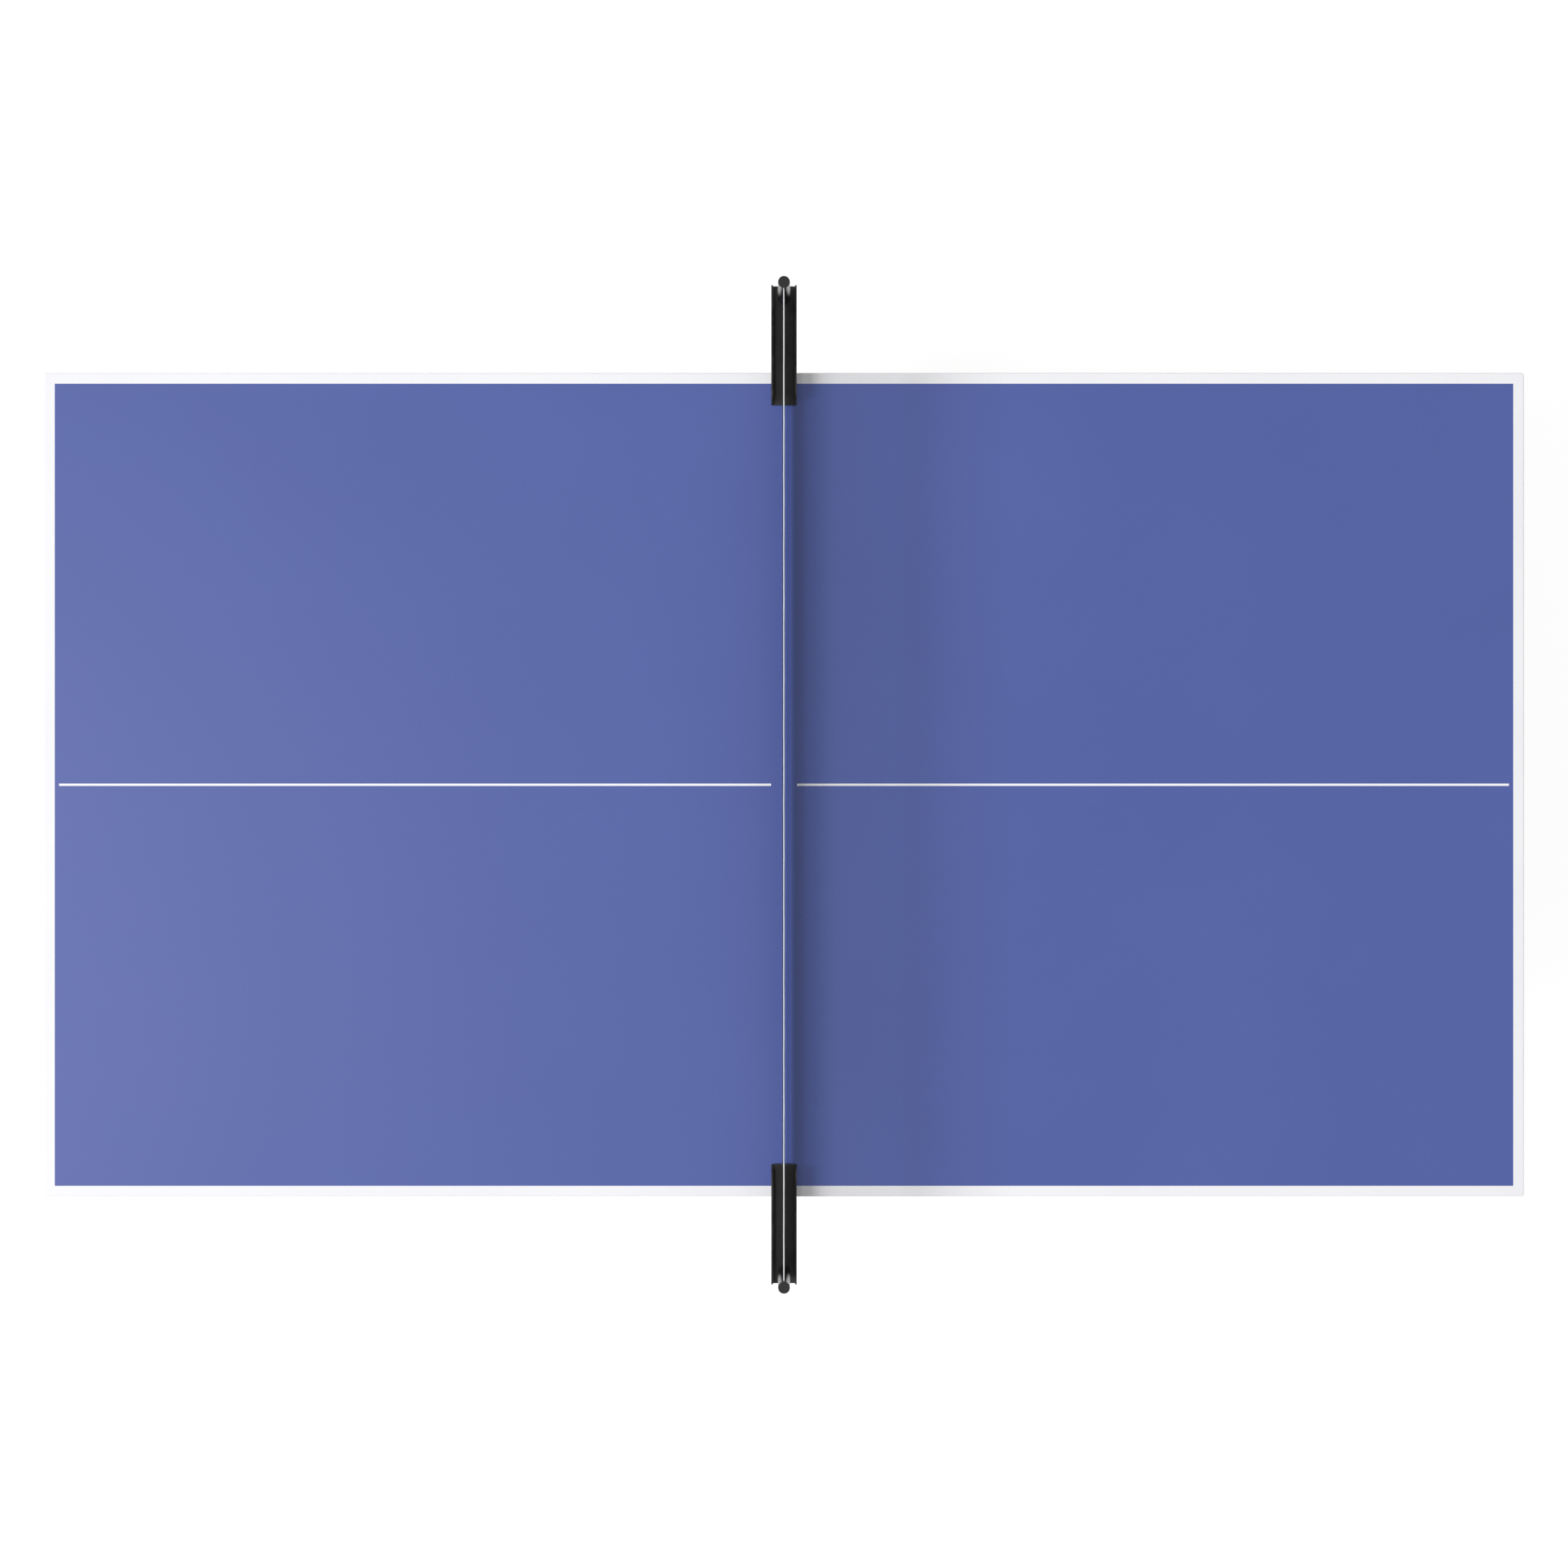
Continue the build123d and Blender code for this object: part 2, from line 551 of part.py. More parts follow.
def tyre():
    """Soft tyre with round shoulders on the hub's rim."""
    seat = WHEEL_RADIUS - TYRE_DEPTH + SEAT_CLEARANCE
    section = Pos((seat + WHEEL_RADIUS) / 2, 0) * Rectangle(WHEEL_RADIUS - seat, WHEEL_WIDTH)
    section = fillet(section.vertices().group_by(Axis.X)[-1], TYRE_SHOULDER)
    return on_axle(revolve(Plane.XZ * section, axis=Axis.Z))


def brake_pedal():
    """Foot pedal that turns on a pin between the cheeks and presses a shoe on the tyre."""
    boss = hole_at(BRAKE_PIVOT, BRAKE_BOSS_RADIUS)
    tread = hole_at(BRAKE_TREAD, BRAKE_TREAD_RADIUS)
    shoe = hole_at(BRAKE_SHOE, BRAKE_SHOE_RADIUS)
    profile = make_hull(boss.edges() + tread.edges()) + make_hull(boss.edges() + shoe.edges())
    profile -= hole_at(BRAKE_PIVOT, BRAKE_PIN_RADIUS + RUNNING_CLEARANCE)
    half = CHEEK_INNER_Y - TURNING_GAP
    return plate_across(profile, -half, half)


def at_castor(shape):
    return Pos(CASTOR_X, SIDE_TUBE_Y) * shape


def leg():
    """End leg, rounded at the top about its pivot under the board."""
    height = LEG_Z + LEG_DEPTH / 2 - LEG_BOTTOM
    middle = Plane.XY.offset(LEG_BOTTOM + height / 2)
    post = Pos(LEG_PIVOT_X, SIDE_TUBE_Y) * tube(middle, height, LEG_DEPTH, SIDE_TUBE_WIDTH)
    profile = round_ended_strip((LEG_PIVOT_X, 0), LEG_PIVOT, LEG_DEPTH / 2)
    post = post & plate_across(profile, SIDE_TUBE_INNER_Y, SIDE_TUBE_OUTER_Y)
    bolt_hole = PIVOT_RADIUS + SEAT_CLEARANCE
    return post - bar_across(bolt_hole, *LEG_PIVOT, SIDE_TUBE_INNER_Y, SIDE_TUBE_OUTER_Y)


def leg_bar(z):
    return cross_tube(LEG_OUTER_X + LEG_BAR_SIZE / 2, z, SIDE_TUBE_OUTER_Y, LEG_BAR_SIZE)


def leg_bar_plug(z):
    return cross_tube_plug(LEG_OUTER_X + LEG_BAR_SIZE / 2, z, LEG_BAR_SIZE)


def foot_socket():
    """Plastic insert in the foot of a leg, bored for the levelling foot's stud."""
    flange = RectangleRounded(LEG_DEPTH, SIDE_TUBE_WIDTH, TUBE_INSIDE_CORNER + TUBE_WALL)
    bore = 2 * (TUBE_WALL + SEAT_CLEARANCE)
    insert = RectangleRounded(LEG_DEPTH - bore, SIDE_TUBE_WIDTH - bore, TUBE_INSIDE_CORNER)
    stud_hole = Circle(FOOT_STUD_RADIUS + RUNNING_CLEARANCE)
    socket = extrude(flange - stud_hole, amount=-SOCKET_FLANGE)
    socket += extrude(insert - stud_hole, amount=SOCKET_DEPTH)
    return Pos(LEG_PIVOT_X, SIDE_TUBE_Y, LEG_BOTTOM) * socket


def levelling_foot():
    """Round foot on a threaded stud that screws in and out of its socket."""
    cone_top = FOOT_TREAD + FOOT_CONE
    stud_top = LEG_BOTTOM + FOOT_STUD_INSIDE
    foot = turned(
        (0, 0),
        (FOOT_RADIUS - FOOT_BEVEL, 0),
        (FOOT_RADIUS, FOOT_BEVEL),
        (FOOT_RADIUS, FOOT_TREAD),
        (FOOT_NECK_RADIUS, cone_top),
        (FOOT_NECK_RADIUS, FOOT_HEIGHT),
        (FOOT_STUD_RADIUS, FOOT_HEIGHT),
        (FOOT_STUD_RADIUS, stud_top),
        (0, stud_top),
    )
    return Pos(LEG_PIVOT_X, SIDE_TUBE_Y) * foot


def net_arm():
    """Bent tube that rises from the trolley, goes out past the board and carries a net bracket."""
    top = BRACKET_BOTTOM - ARM_FLANGE_THICKNESS
    path = FilletPolyline(
        (0, SIDE_TUBE_Y, BASE_TOP),
        (0, SIDE_TUBE_Y, ARM_LEVEL),
        (0, ARM_Y, ARM_LEVEL),
        (0, ARM_Y, top),
        radius=ARM_BEND,
    )
    section = Circle(ARM_RADIUS) - Circle(ARM_RADIUS - ARM_WALL)
    arm = sweep(Plane(origin=(0, SIDE_TUBE_Y, BASE_TOP)) * section, path=path)
    flange = Box(BRACKET_WIDTH - 2 * ARM_FLANGE_INSET, ARM_FLANGE_LENGTH, ARM_FLANGE_THICKNESS)
    return arm + Pos(0, ARM_Y, top + ARM_FLANGE_THICKNESS / 2) * flange


def net_bracket():
    """Folded steel channel over the table's edge, its lips cut away at the inner end."""
    length = BRACKET_OUTER_Y - BRACKET_INNER_Y
    middle_y = (BRACKET_OUTER_Y + BRACKET_INNER_Y) / 2
    outer = Pos(0, BRACKET_BOTTOM + BRACKET_LIP / 2) * Rectangle(BRACKET_WIDTH, BRACKET_LIP)
    outer = fillet(outer.vertices().group_by(Axis.Y)[0], BRACKET_BEND + BRACKET_STEEL)
    hollow = Pos(0, BRACKET_FLOOR + BRACKET_LIP / 2) * Rectangle(BRACKET_WIDTH - 2 * BRACKET_STEEL, BRACKET_LIP)
    hollow = fillet(hollow.vertices().group_by(Axis.Y)[0], BRACKET_BEND)
    channel = plate_across(outer - hollow, middle_y - length / 2, middle_y + length / 2)
    lip_rise = BRACKET_LIP - BRACKET_STEEL
    slope = make_face(
        Polyline(
            (BRACKET_INNER_Y, BRACKET_FLOOR),
            (BRACKET_INNER_Y + lip_rise, BRACKET_FLOOR + lip_rise),
            (BRACKET_INNER_Y, BRACKET_FLOOR + lip_rise),
            close=True,
        )
    )
    return channel - extrude(Plane.YZ * slope, amount=BRACKET_WIDTH / 2, both=True)


def bracket_pad():
    """Soft pad between the bracket and the playing surface."""
    length = BRACKET_OVERLAP - 2 * PAD_MARGIN
    pad = Box(BRACKET_WIDTH - 2 * (BRACKET_BEND + BRACKET_STEEL), length, PAD_THICKNESS)
    return Pos(0, TABLE_WIDTH / 2 - BRACKET_OVERLAP / 2, BRACKET_BOTTOM - PAD_THICKNESS / 2) * pad


def net_post():
    """Tapered tube with a slot down its inner side for the end of the net."""
    height = POST_TOP - BRACKET_FLOOR
    post = Cone(POST_FOOT_RADIUS, POST_TOP_RADIUS, height)
    post -= Cone(POST_FOOT_RADIUS - POST_WALL, POST_TOP_RADIUS - POST_WALL, height)
    post -= Pos(0, -POST_FOOT_RADIUS / 2, 0) * Box(POST_SLOT, POST_FOOT_RADIUS, height)
    return Pos(0, POST_Y, BRACKET_FLOOR + height / 2) * post


def post_cap():
    """Plastic cap with a short spigot in the top of the post."""
    spigot_radius = POST_TOP_RADIUS - POST_WALL - SEAT_CLEARANCE
    cap = turned(
        (0, -CAP_SPIGOT),
        (spigot_radius, -CAP_SPIGOT),
        (spigot_radius, 0),
        (POST_TOP_RADIUS, 0),
        (POST_TOP_RADIUS, CAP_HEIGHT - CAP_BEVEL),
        (POST_TOP_RADIUS - CAP_BEVEL, CAP_HEIGHT),
        (0, CAP_HEIGHT),
    )
    return Pos(0, POST_Y, POST_TOP) * cap


def net_end_rod():
    """Stiffening rod sewn into the end of the net, standing inside the post."""
    height = NET_TOP - NET_ROD_SHORT - BRACKET_FLOOR
    return Pos(0, POST_Y, BRACKET_FLOOR + height / 2) * Cylinder(NET_ROD_RADIUS, height)


def net_mesh():
    """The net itself: one flat sheet of square mesh with a hem below and a band at each end."""
    top = NET_TOP - TAPE_WALL - 2 * CORD_RADIUS - 2 * SEAT_CLEARANCE
    edge = Pos(0, (NET_BOTTOM + top) / 2) * Rectangle(2 * NET_END_Y, top - NET_BOTTOM)
    mesh_width = 2 * (POST_Y - POST_FOOT_RADIUS - NET_END_BAND)
    mesh_bottom = NET_BOTTOM + NET_HEM
    mesh_height = NET_TOP - TAPE_HEIGHT - mesh_bottom
    pitch_y = mesh_width / NET_COLUMNS
    pitch_z = mesh_height / NET_ROWS
    opening = Rectangle(pitch_y - NET_STRAND, pitch_z - NET_STRAND)
    grid = GridLocations(pitch_y, pitch_z, NET_COLUMNS, NET_ROWS)
    centre = Pos(0, mesh_bottom + mesh_height / 2)
    sheet = Face(edge.wire(), [(centre * spot * opening).wire() for spot in grid])
    return extrude(Plane.YZ.offset(-NET_THICKNESS / 2) * sheet, amount=NET_THICKNESS)


def net_tape():
    """White tape folded over the top of the net and the tension cord."""
    outer = Pos(0, NET_TOP - TAPE_HEIGHT / 2) * Rectangle(TAPE_THICKNESS, TAPE_HEIGHT)
    outer = fillet(outer.vertices().group_by(Axis.Y)[-1], TAPE_FOLD_RADIUS)
    fold = Pos(0, NET_TOP - TAPE_WALL - TAPE_HEIGHT / 2)
    hollow = fold * Rectangle(TAPE_THICKNESS - 2 * TAPE_WALL, TAPE_HEIGHT)
    return plate_across(outer - hollow, -NET_END_Y, NET_END_Y)


def net_cord():
    """Tension cord inside the fold of the tape."""
    height = NET_TOP - TAPE_WALL - CORD_RADIUS - SEAT_CLEARANCE
    return bar_across(CORD_RADIUS, 0, height, -NET_END_Y, NET_END_Y)


def trolley_pieces():
    upper_tube = cross_tube(UPRIGHT_OUTER_X + CROSS_TUBE_SIZE / 2, UPPER_TUBE_Z, SIDE_TUBE_OUTER_Y, CROSS_TUBE_SIZE)
    upper_plug = cross_tube_plug(UPRIGHT_OUTER_X + CROSS_TUBE_SIZE / 2, UPPER_TUBE_Z, CROSS_TUBE_SIZE)
    base_tube = cross_tube(UPRIGHT_X, BASE_Z, SIDE_TUBE_INNER_Y, CROSS_TUBE_SIZE)
    middle_tube = cross_tube(0, BASE_Z, SIDE_TUBE_INNER_Y, CROSS_TUBE_SIZE)
    pieces = {
        "trolley_uprights": all_corners(upright()),
        "trolley_base_tubes": [to_end(base_tube, end) for end in ENDS] + [middle_tube],
        "trolley_upper_tubes": [to_end(upper_tube, end) for end in ENDS],
        "trolley_end_plugs": all_corners(upper_plug) + all_corners(base_rail_plug()),
        "fold_link_plates": all_corners(link_plate(FOLD_PIVOT, FOLD_LINK)),
        "fold_pivot_bolts": all_corners(pivot_bolt(FOLD_PIVOT)) + all_corners(link_pin(FOLD_LINK)),
        "fold_stop_bumpers": all_corners(stop_bumper()),
        "castor_kingpins": all_corners(kingpin()),
    }
    for side in SIDES:
        pieces[f"trolley_base_rail_{side}"] = [to_side(base_rail(), side)]
        pieces[f"net_arm_{side}"] = [to_side(net_arm(), side)]
    return pieces


def net_pieces():
    pieces = {
        "net_bracket_pads": both_sides(bracket_pad()),
        "net_post_caps": both_sides(post_cap()),
        "net_end_rods": both_sides(net_end_rod()),
        "net_mesh": [net_mesh()],
        "net_tape": [net_tape()],
        "net_cord": [net_cord()],
    }
    for side in SIDES:
        pieces[f"net_bracket_{side}"] = [to_side(net_bracket(), side)]
        pieces[f"net_post_{side}"] = [to_side(net_post(), side)]
    return pieces


def half_pieces(end):
    first_rail = end_cross_rail(RAIL_START_X, RAIL_START_X + RAIL_WIDTH)
    last_rail = end_cross_rail(RAIL_END_X, RAIL_END_X - RAIL_WIDTH)
    cross_rails = [first_rail, cross_rail(BRACE_RAIL_X), last_rail]
    bushes = both_sides(pivot_bush(FOLD_PIVOT)) + both_sides(pivot_bush(LEG_PIVOT))
    return {
        f"{end}_top": [to_end(top_board(), end)],
        f"{end}_side_rails": [to_end(rail, end) for rail in both_sides(side_rail())],
        f"{end}_cross_rails": [to_end(rail, end) for rail in cross_rails],
        f"{end}_pivot_bushes": [to_end(bush, end) for bush in bushes],
        f"{end}_link_rods": [to_end(rod, end) for rod in both_sides(link_rod())],
    }


def leg_pieces(end):
    bar_heights = (LEG_BAR_LOW, LEG_BAR_HIGH)
    plugs = both_sides(foot_socket())
    for height in bar_heights:
        plugs += both_sides(leg_bar_plug(height))
    pivots = both_sides(pivot_bolt(LEG_PIVOT)) + both_sides(link_pin(LEG_LINK))
    plates = both_sides(link_plate(LEG_PIVOT, LEG_LINK))
    pieces = {
        f"{end}_legs": [to_end(post, end) for post in both_sides(leg())],
        f"{end}_leg_crossbars": [to_end(leg_bar(height), end) for height in bar_heights],
        f"{end}_leg_link_plates": [to_end(plate, end) for plate in plates],
        f"{end}_leg_plugs": [to_end(plug, end) for plug in plugs],
        f"{end}_leg_pivots": [to_end(pivot, end) for pivot in pivots],
    }
    for side in SIDES:
        pieces[f"levelling_foot_{end}_{side}"] = [to_corner(levelling_foot(), end, side)]
    return pieces


def castor_pieces(end, side):
    corner = f"{end}_{side}"
    braked = side == BRAKED_SIDE
    fork = [castor_fork(braked), castor_axle()]
    pieces = {f"wheel_hub_{corner}": [wheel_hub()], f"tyre_{corner}": [tyre()]}
    if braked:
        fork.append(brake_pin())
        pieces[f"brake_pedal_{corner}"] = [brake_pedal()]
    pieces[f"castor_fork_{corner}"] = fork
    return {
        node: [to_corner(at_castor(solid), end, side) for solid in solids]
        for node, solids in pieces.items()
    }


def all_pieces():
    pieces = trolley_pieces() | net_pieces()
    for end in ENDS:
        pieces |= half_pieces(end) | leg_pieces(end)
        for side in SIDES:
            pieces |= castor_pieces(end, side)
    return pieces


def main():
    os.makedirs("parts", exist_ok=True)
    for node, solids in all_pieces().items():
        shape = solids[0] if len(solids) == 1 else Compound(children=solids)
        export_step(shape, os.path.join("parts", f"{node}.step"))


if __name__ == "__main__":
    main()
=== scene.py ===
import math

import bmesh
import bpy
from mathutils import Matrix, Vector


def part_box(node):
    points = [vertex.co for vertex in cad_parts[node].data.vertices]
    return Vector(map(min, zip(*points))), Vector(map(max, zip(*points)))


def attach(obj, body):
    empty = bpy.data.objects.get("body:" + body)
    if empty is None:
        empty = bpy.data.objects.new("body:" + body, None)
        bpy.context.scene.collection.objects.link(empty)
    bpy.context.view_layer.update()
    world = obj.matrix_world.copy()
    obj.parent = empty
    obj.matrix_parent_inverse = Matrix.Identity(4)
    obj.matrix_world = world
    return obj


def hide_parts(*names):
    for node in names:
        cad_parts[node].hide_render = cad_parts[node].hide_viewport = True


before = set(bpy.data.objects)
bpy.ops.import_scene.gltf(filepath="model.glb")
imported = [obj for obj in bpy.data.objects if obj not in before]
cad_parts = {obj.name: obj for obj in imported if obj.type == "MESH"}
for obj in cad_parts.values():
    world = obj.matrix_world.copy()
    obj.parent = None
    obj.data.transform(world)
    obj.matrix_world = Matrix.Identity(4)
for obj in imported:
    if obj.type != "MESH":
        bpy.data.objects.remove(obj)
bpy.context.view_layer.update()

# Trolley and frame tubes
# Square and rectangular steel tube, flat link bars and the bent round arms of the net, cut and welded,
# then sprayed with black powder that is baked to a finely textured, half-matt coat. It rubs grey on
# its corners and holds a little dust.
MM = 0.001
ENDS = {"left": -1, "right": 1}
SIDES = {"front": -1, "back": 1}
GRAIN_DETAIL = 3.0
BLOTCH_DETAIL = 4.0
TONE_SPAN = (0.7, 1.3)
CORNER_SPAN = (0.985, 0.86)
CORNER_SAMPLES = 6
PATCH_DETAIL = 5.0
PATCH_SPAN = (0.40, 0.66)
SLOPE_SPAN = (0.5, 1.0)
DRIFT_DETAIL = 6.0
DRIFT_SPAN = (0.35, 0.75)


def srgb(red, green, blue):
    """Colour as a screen shows it, 0 to 255, as the linear colour that shaders take."""
    levels = []
    for level in (red / 255, green / 255, blue / 255):
        levels.append(level / 12.92 if level <= 0.04045 else ((level + 0.055) / 1.055) ** 2.4)
    return (*levels, 1.0)


DUST_COLOUR = srgb(128, 126, 122)


def put(tree, kind, sockets=None, **settings):
    """Add a node to a tree and fill its sockets with values or with other nodes' outputs."""
    node = tree.nodes.new(kind)
    for name, value in settings.items():
        setattr(node, name, value)
    for socket, value in (sockets or {}).items():
        if isinstance(value, bpy.types.NodeSocket):
            tree.links.new(value, node.inputs[socket])
        else:
            node.inputs[socket].default_value = value
    return node


def maths(tree, operation, first, second=0.0):
    """Result of a sum on one or two values or sockets."""
    return put(tree, "ShaderNodeMath", {0: first, 1: second}, operation=operation).outputs[0]


def share_of(tree, value, span):
    """How far a value is through a span, from 0 at its start to 1 at its end."""
    ends = {"Value": value, "From Min": span[0], "From Max": span[1]}
    return put(tree, "ShaderNodeMapRange", ends).outputs["Result"]


def within(tree, share, span):
    """The value at a share of a span."""
    ends = {"Value": share, "To Min": span[0], "To Max": span[1]}
    return put(tree, "ShaderNodeMapRange", ends).outputs["Result"]


def noise(tree, place, scale, detail):
    """Outputs of a noise texture."""
    return put(tree, "ShaderNodeTexNoise", {"Vector": place, "Scale": scale, "Detail": detail}).outputs


def begin_effect(name, inputs, outputs):
    """Start a shader group; gives the group, what it is given and what it puts out."""
    group = bpy.data.node_groups.new(name, "ShaderNodeTree")
    for label, value in inputs.items():
        socket = group.interface.new_socket(label, in_out="INPUT", socket_type="NodeSocketFloat")
        socket.default_value = value
    for label in outputs:
        group.interface.new_socket(label, in_out="OUTPUT", socket_type="NodeSocketFloat")
    return group, group.nodes.new("NodeGroupInput").outputs, group.nodes.new("NodeGroupOutput").inputs


grain_inputs = {"Grain": 900.0, "Blotch": 9.0}
grain_effect, given, result = begin_effect("fine_grain", grain_inputs, ("Tone", "Height"))
place = put(grain_effect, "ShaderNodeTexCoord").outputs["Object"]
fine = noise(grain_effect, place, given["Grain"], GRAIN_DETAIL)["Fac"]
broad = noise(grain_effect, place, given["Blotch"], BLOTCH_DETAIL)["Fac"]
tone = share_of(grain_effect, maths(grain_effect, "ADD", fine, broad), TONE_SPAN)
grain_effect.links.new(tone, result["Tone"])
grain_effect.links.new(fine, result["Height"])

# Edge mask for a lighter edge colour: worn corners, and on the brackets also painted highlight.
wear_inputs = {"Reach": 1.5 * MM, "Patches": 60.0, "Amount": 0.5}
wear_effect, given, result = begin_effect("edge_wear", wear_inputs, ("Mask",))
corner = put(wear_effect, "ShaderNodeBevel", {"Radius": given["Reach"]}, samples=CORNER_SAMPLES)
straight = put(wear_effect, "ShaderNodeNewGeometry")
agree = put(
    wear_effect, "ShaderNodeVectorMath",
    {0: corner.outputs["Normal"], 1: straight.outputs["Normal"]}, operation="DOT_PRODUCT",
)
turn = share_of(wear_effect, agree.outputs["Value"], CORNER_SPAN)
place = put(wear_effect, "ShaderNodeTexCoord").outputs["Object"]
patch = noise(wear_effect, place, given["Patches"], PATCH_DETAIL)["Fac"]
worn = maths(wear_effect, "MULTIPLY", turn, share_of(wear_effect, patch, PATCH_SPAN))
wear_effect.links.new(maths(wear_effect, "MULTIPLY", worn, given["Amount"]), result["Mask"])

dust_effect, given, result = begin_effect("settled_dust", {"Amount": 0.2, "Patches": 14.0}, ("Mask",))
coords = put(dust_effect, "ShaderNodeTexCoord").outputs
facing = put(dust_effect, "ShaderNodeSeparateXYZ", {0: coords["Normal"]}).outputs["Z"]
level = share_of(dust_effect, facing, SLOPE_SPAN)
drift = noise(dust_effect, coords["Object"], given["Patches"], DRIFT_DETAIL)["Fac"]
lying = maths(dust_effect, "MULTIPLY", level, share_of(dust_effect, drift, DRIFT_SPAN))
dust_effect.links.new(maths(dust_effect, "MULTIPLY", lying, given["Amount"]), result["Mask"])


def effect(tree, group, **values):
    """Place a shader group in a material with its own values; gives its outputs."""
    node = put(tree, "ShaderNodeGroup", node_tree=group)
    for label, value in values.items():
        node.inputs[label].default_value = value
    return node.outputs


def mixed(tree, share, low, high):
    """Colour between two colours, by a share from 0 to 1."""
    return put(tree, "ShaderNodeMix", {0: share, 6: low, 7: high}, data_type="RGBA").outputs[2]


def begin_material(name, plain):
    """New material with what is the same all over it; gives it, its node tree and its shader's inputs."""
    material = bpy.data.materials.new(name)
    material.use_nodes = True
    shader = material.node_tree.nodes["Principled BSDF"]
    for socket, value in plain.items():
        shader.inputs[socket].default_value = value
    return material, material.node_tree, shader.inputs


def emboss(tree, surface, height, relief):
    """Raise a surface by a height from 0 to 1, where 1 is relief in metres."""
    bump = put(tree, "ShaderNodeBump", {"Height": height, "Strength": 1.0, "Distance": relief})
    tree.links.new(bump.outputs["Normal"], surface["Normal"])


def finish(name, low, high, grain, blotch, relief, rough, wear=None, dust=0.0, plain=None):
    """Material with grain, relief and uneven gloss, lighter on its edges where asked and dusted where
    asked.
    relief is the height of the grain in metres, rough the least and greatest roughness,
    wear (colour, reach, amount) the lighter colour on the edges, which is wear and on the brackets also
    painted highlight, and plain what is the same all over the surface."""
    material, tree, surface = begin_material(name, plain or {})
    texture = effect(tree, grain_effect, Grain=grain, Blotch=blotch)
    colour = mixed(tree, texture["Tone"], low, high)
    if wear:
        # Edges take a lighter colour: wear, and for the brackets also painted highlight.
        edge_wear_and_highlight = effect(tree, wear_effect, Reach=wear[1], Amount=wear[2])
        colour = mixed(tree, edge_wear_and_highlight["Mask"], colour, wear[0])
    if dust:
        colour = mixed(tree, effect(tree, dust_effect, Amount=dust)["Mask"], colour, DUST_COLOUR)
    tree.links.new(colour, surface["Base Color"])
    tree.links.new(within(tree, texture["Tone"], rough), surface["Roughness"])
    emboss(tree, surface, texture["Height"], relief)
    return material


def black_coat(name, wear):
    """Textured black powder coat, with a lighter colour (colour, reach, amount) on its edges: wear, and on
    the brackets also painted highlight.
    """
    return finish(
        name, srgb(16, 16, 17), srgb(28, 28, 30), grain=1100, blotch=14, relief=0.12 * MM,
        rough=(0.42, 0.58), wear=wear, dust=0.12, plain={"Specular IOR Level": 0.3},
    )


def dress(material, *nodes):
    """Give CAD nodes a better material."""
    for node in nodes:
        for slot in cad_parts[node].material_slots:
            slot.material = material


powder_coat = black_coat("black_powder_coat", (srgb(92, 92, 94), 1.6 * MM, 0.55))
dress(powder_coat, "trolley_uprights", "trolley_base_tubes", "trolley_upper_tubes")
dress(powder_coat, "trolley_base_rail_front", "trolley_base_rail_back", "fold_link_plates")
for end in ENDS:
    dress(powder_coat, f"{end}_side_rails", f"{end}_cross_rails", f"{end}_link_rods")
    dress(powder_coat, f"{end}_legs", f"{end}_leg_crossbars", f"{end}_leg_link_plates")
for side in SIDES:
    dress(powder_coat, f"net_arm_{side}")

# Weld seams
# A bead of overlapping steel scales runs round each tube where it meets the next one. The seams are
# under the powder coat, and none stands on the outer faces of the rails, which turn past the uprights.
WELD_WIDTH = 4.2 * MM
WELD_STEP = 1.9 * MM
WELD_SCALE = 1.7 * WELD_STEP
UNEVEN_SPAN = (0.88, 1.1)
UNIT_RADIUS = 0.5
SEAM_POINTS = 24
SAME_POINT = 1e-7
ARM_RADIUS = 15 * MM
RAIL_WIDTH = 20 * MM
BRACE_X = 700 * MM


def begin_tree(name, inputs):
    """Start a geometry tree with named inputs; gives the tree, what it is given and its result."""
    tree = bpy.data.node_groups.new(name, "GeometryNodeTree")
    tree.interface.new_socket("Geometry", in_out="INPUT", socket_type="NodeSocketGeometry")
    for label, kind in inputs.items():
        tree.interface.new_socket(label, in_out="INPUT", socket_type="NodeSocket" + kind)
    tree.interface.new_socket("Geometry", in_out="OUTPUT", socket_type="NodeSocketGeometry")
    return tree, tree.nodes.new("NodeGroupInput").outputs, tree.nodes.new("NodeGroupOutput").inputs


def end_tree(tree, geometry, material, result):
    """Close a geometry tree: realise its instances, shade them smooth and give them their material."""
    real = put(tree, "GeometryNodeRealizeInstances", {"Geometry": geometry})
    smooth = put(tree, "GeometryNodeSetShadeSmooth", {"Geometry": real.outputs["Geometry"]})
    coated = put(
        tree, "GeometryNodeSetMaterial", {"Geometry": smooth.outputs["Geometry"], "Material": material}
    )
    tree.links.new(coated.outputs["Geometry"], result["Geometry"])


def shown(name, data):
    """New object in the scene."""
    piece = bpy.data.objects.new(name, data)
    bpy.context.scene.collection.objects.link(piece)
    return piece


def plain_mesh(name, shape, materials=()):
    """Mesh of a shape that is finished, with its materials."""
    mesh = bpy.data.meshes.new(name)
    shape.to_mesh(mesh)
    shape.free()
    for material in materials:
        mesh.materials.append(material)
    return mesh


def grown(name, seed, tree, values):
    """Run a geometry tree on a seed mesh and give the result as a plain object."""
    piece = shown(name, seed)
    modifier = piece.modifiers.new(tree.name, "NODES")
    modifier.node_group = tree
    for item in tree.interface.items_tree:
        if item.in_out == "INPUT" and item.name in values:
            modifier[item.identifier] = values[item.name]
    bpy.context.view_layer.update()
    evaluated = piece.evaluated_get(bpy.context.evaluated_depsgraph_get())
    mesh = bpy.data.meshes.new_from_object(evaluated)
    piece.modifiers.remove(modifier)
    piece.data = mesh
    return piece


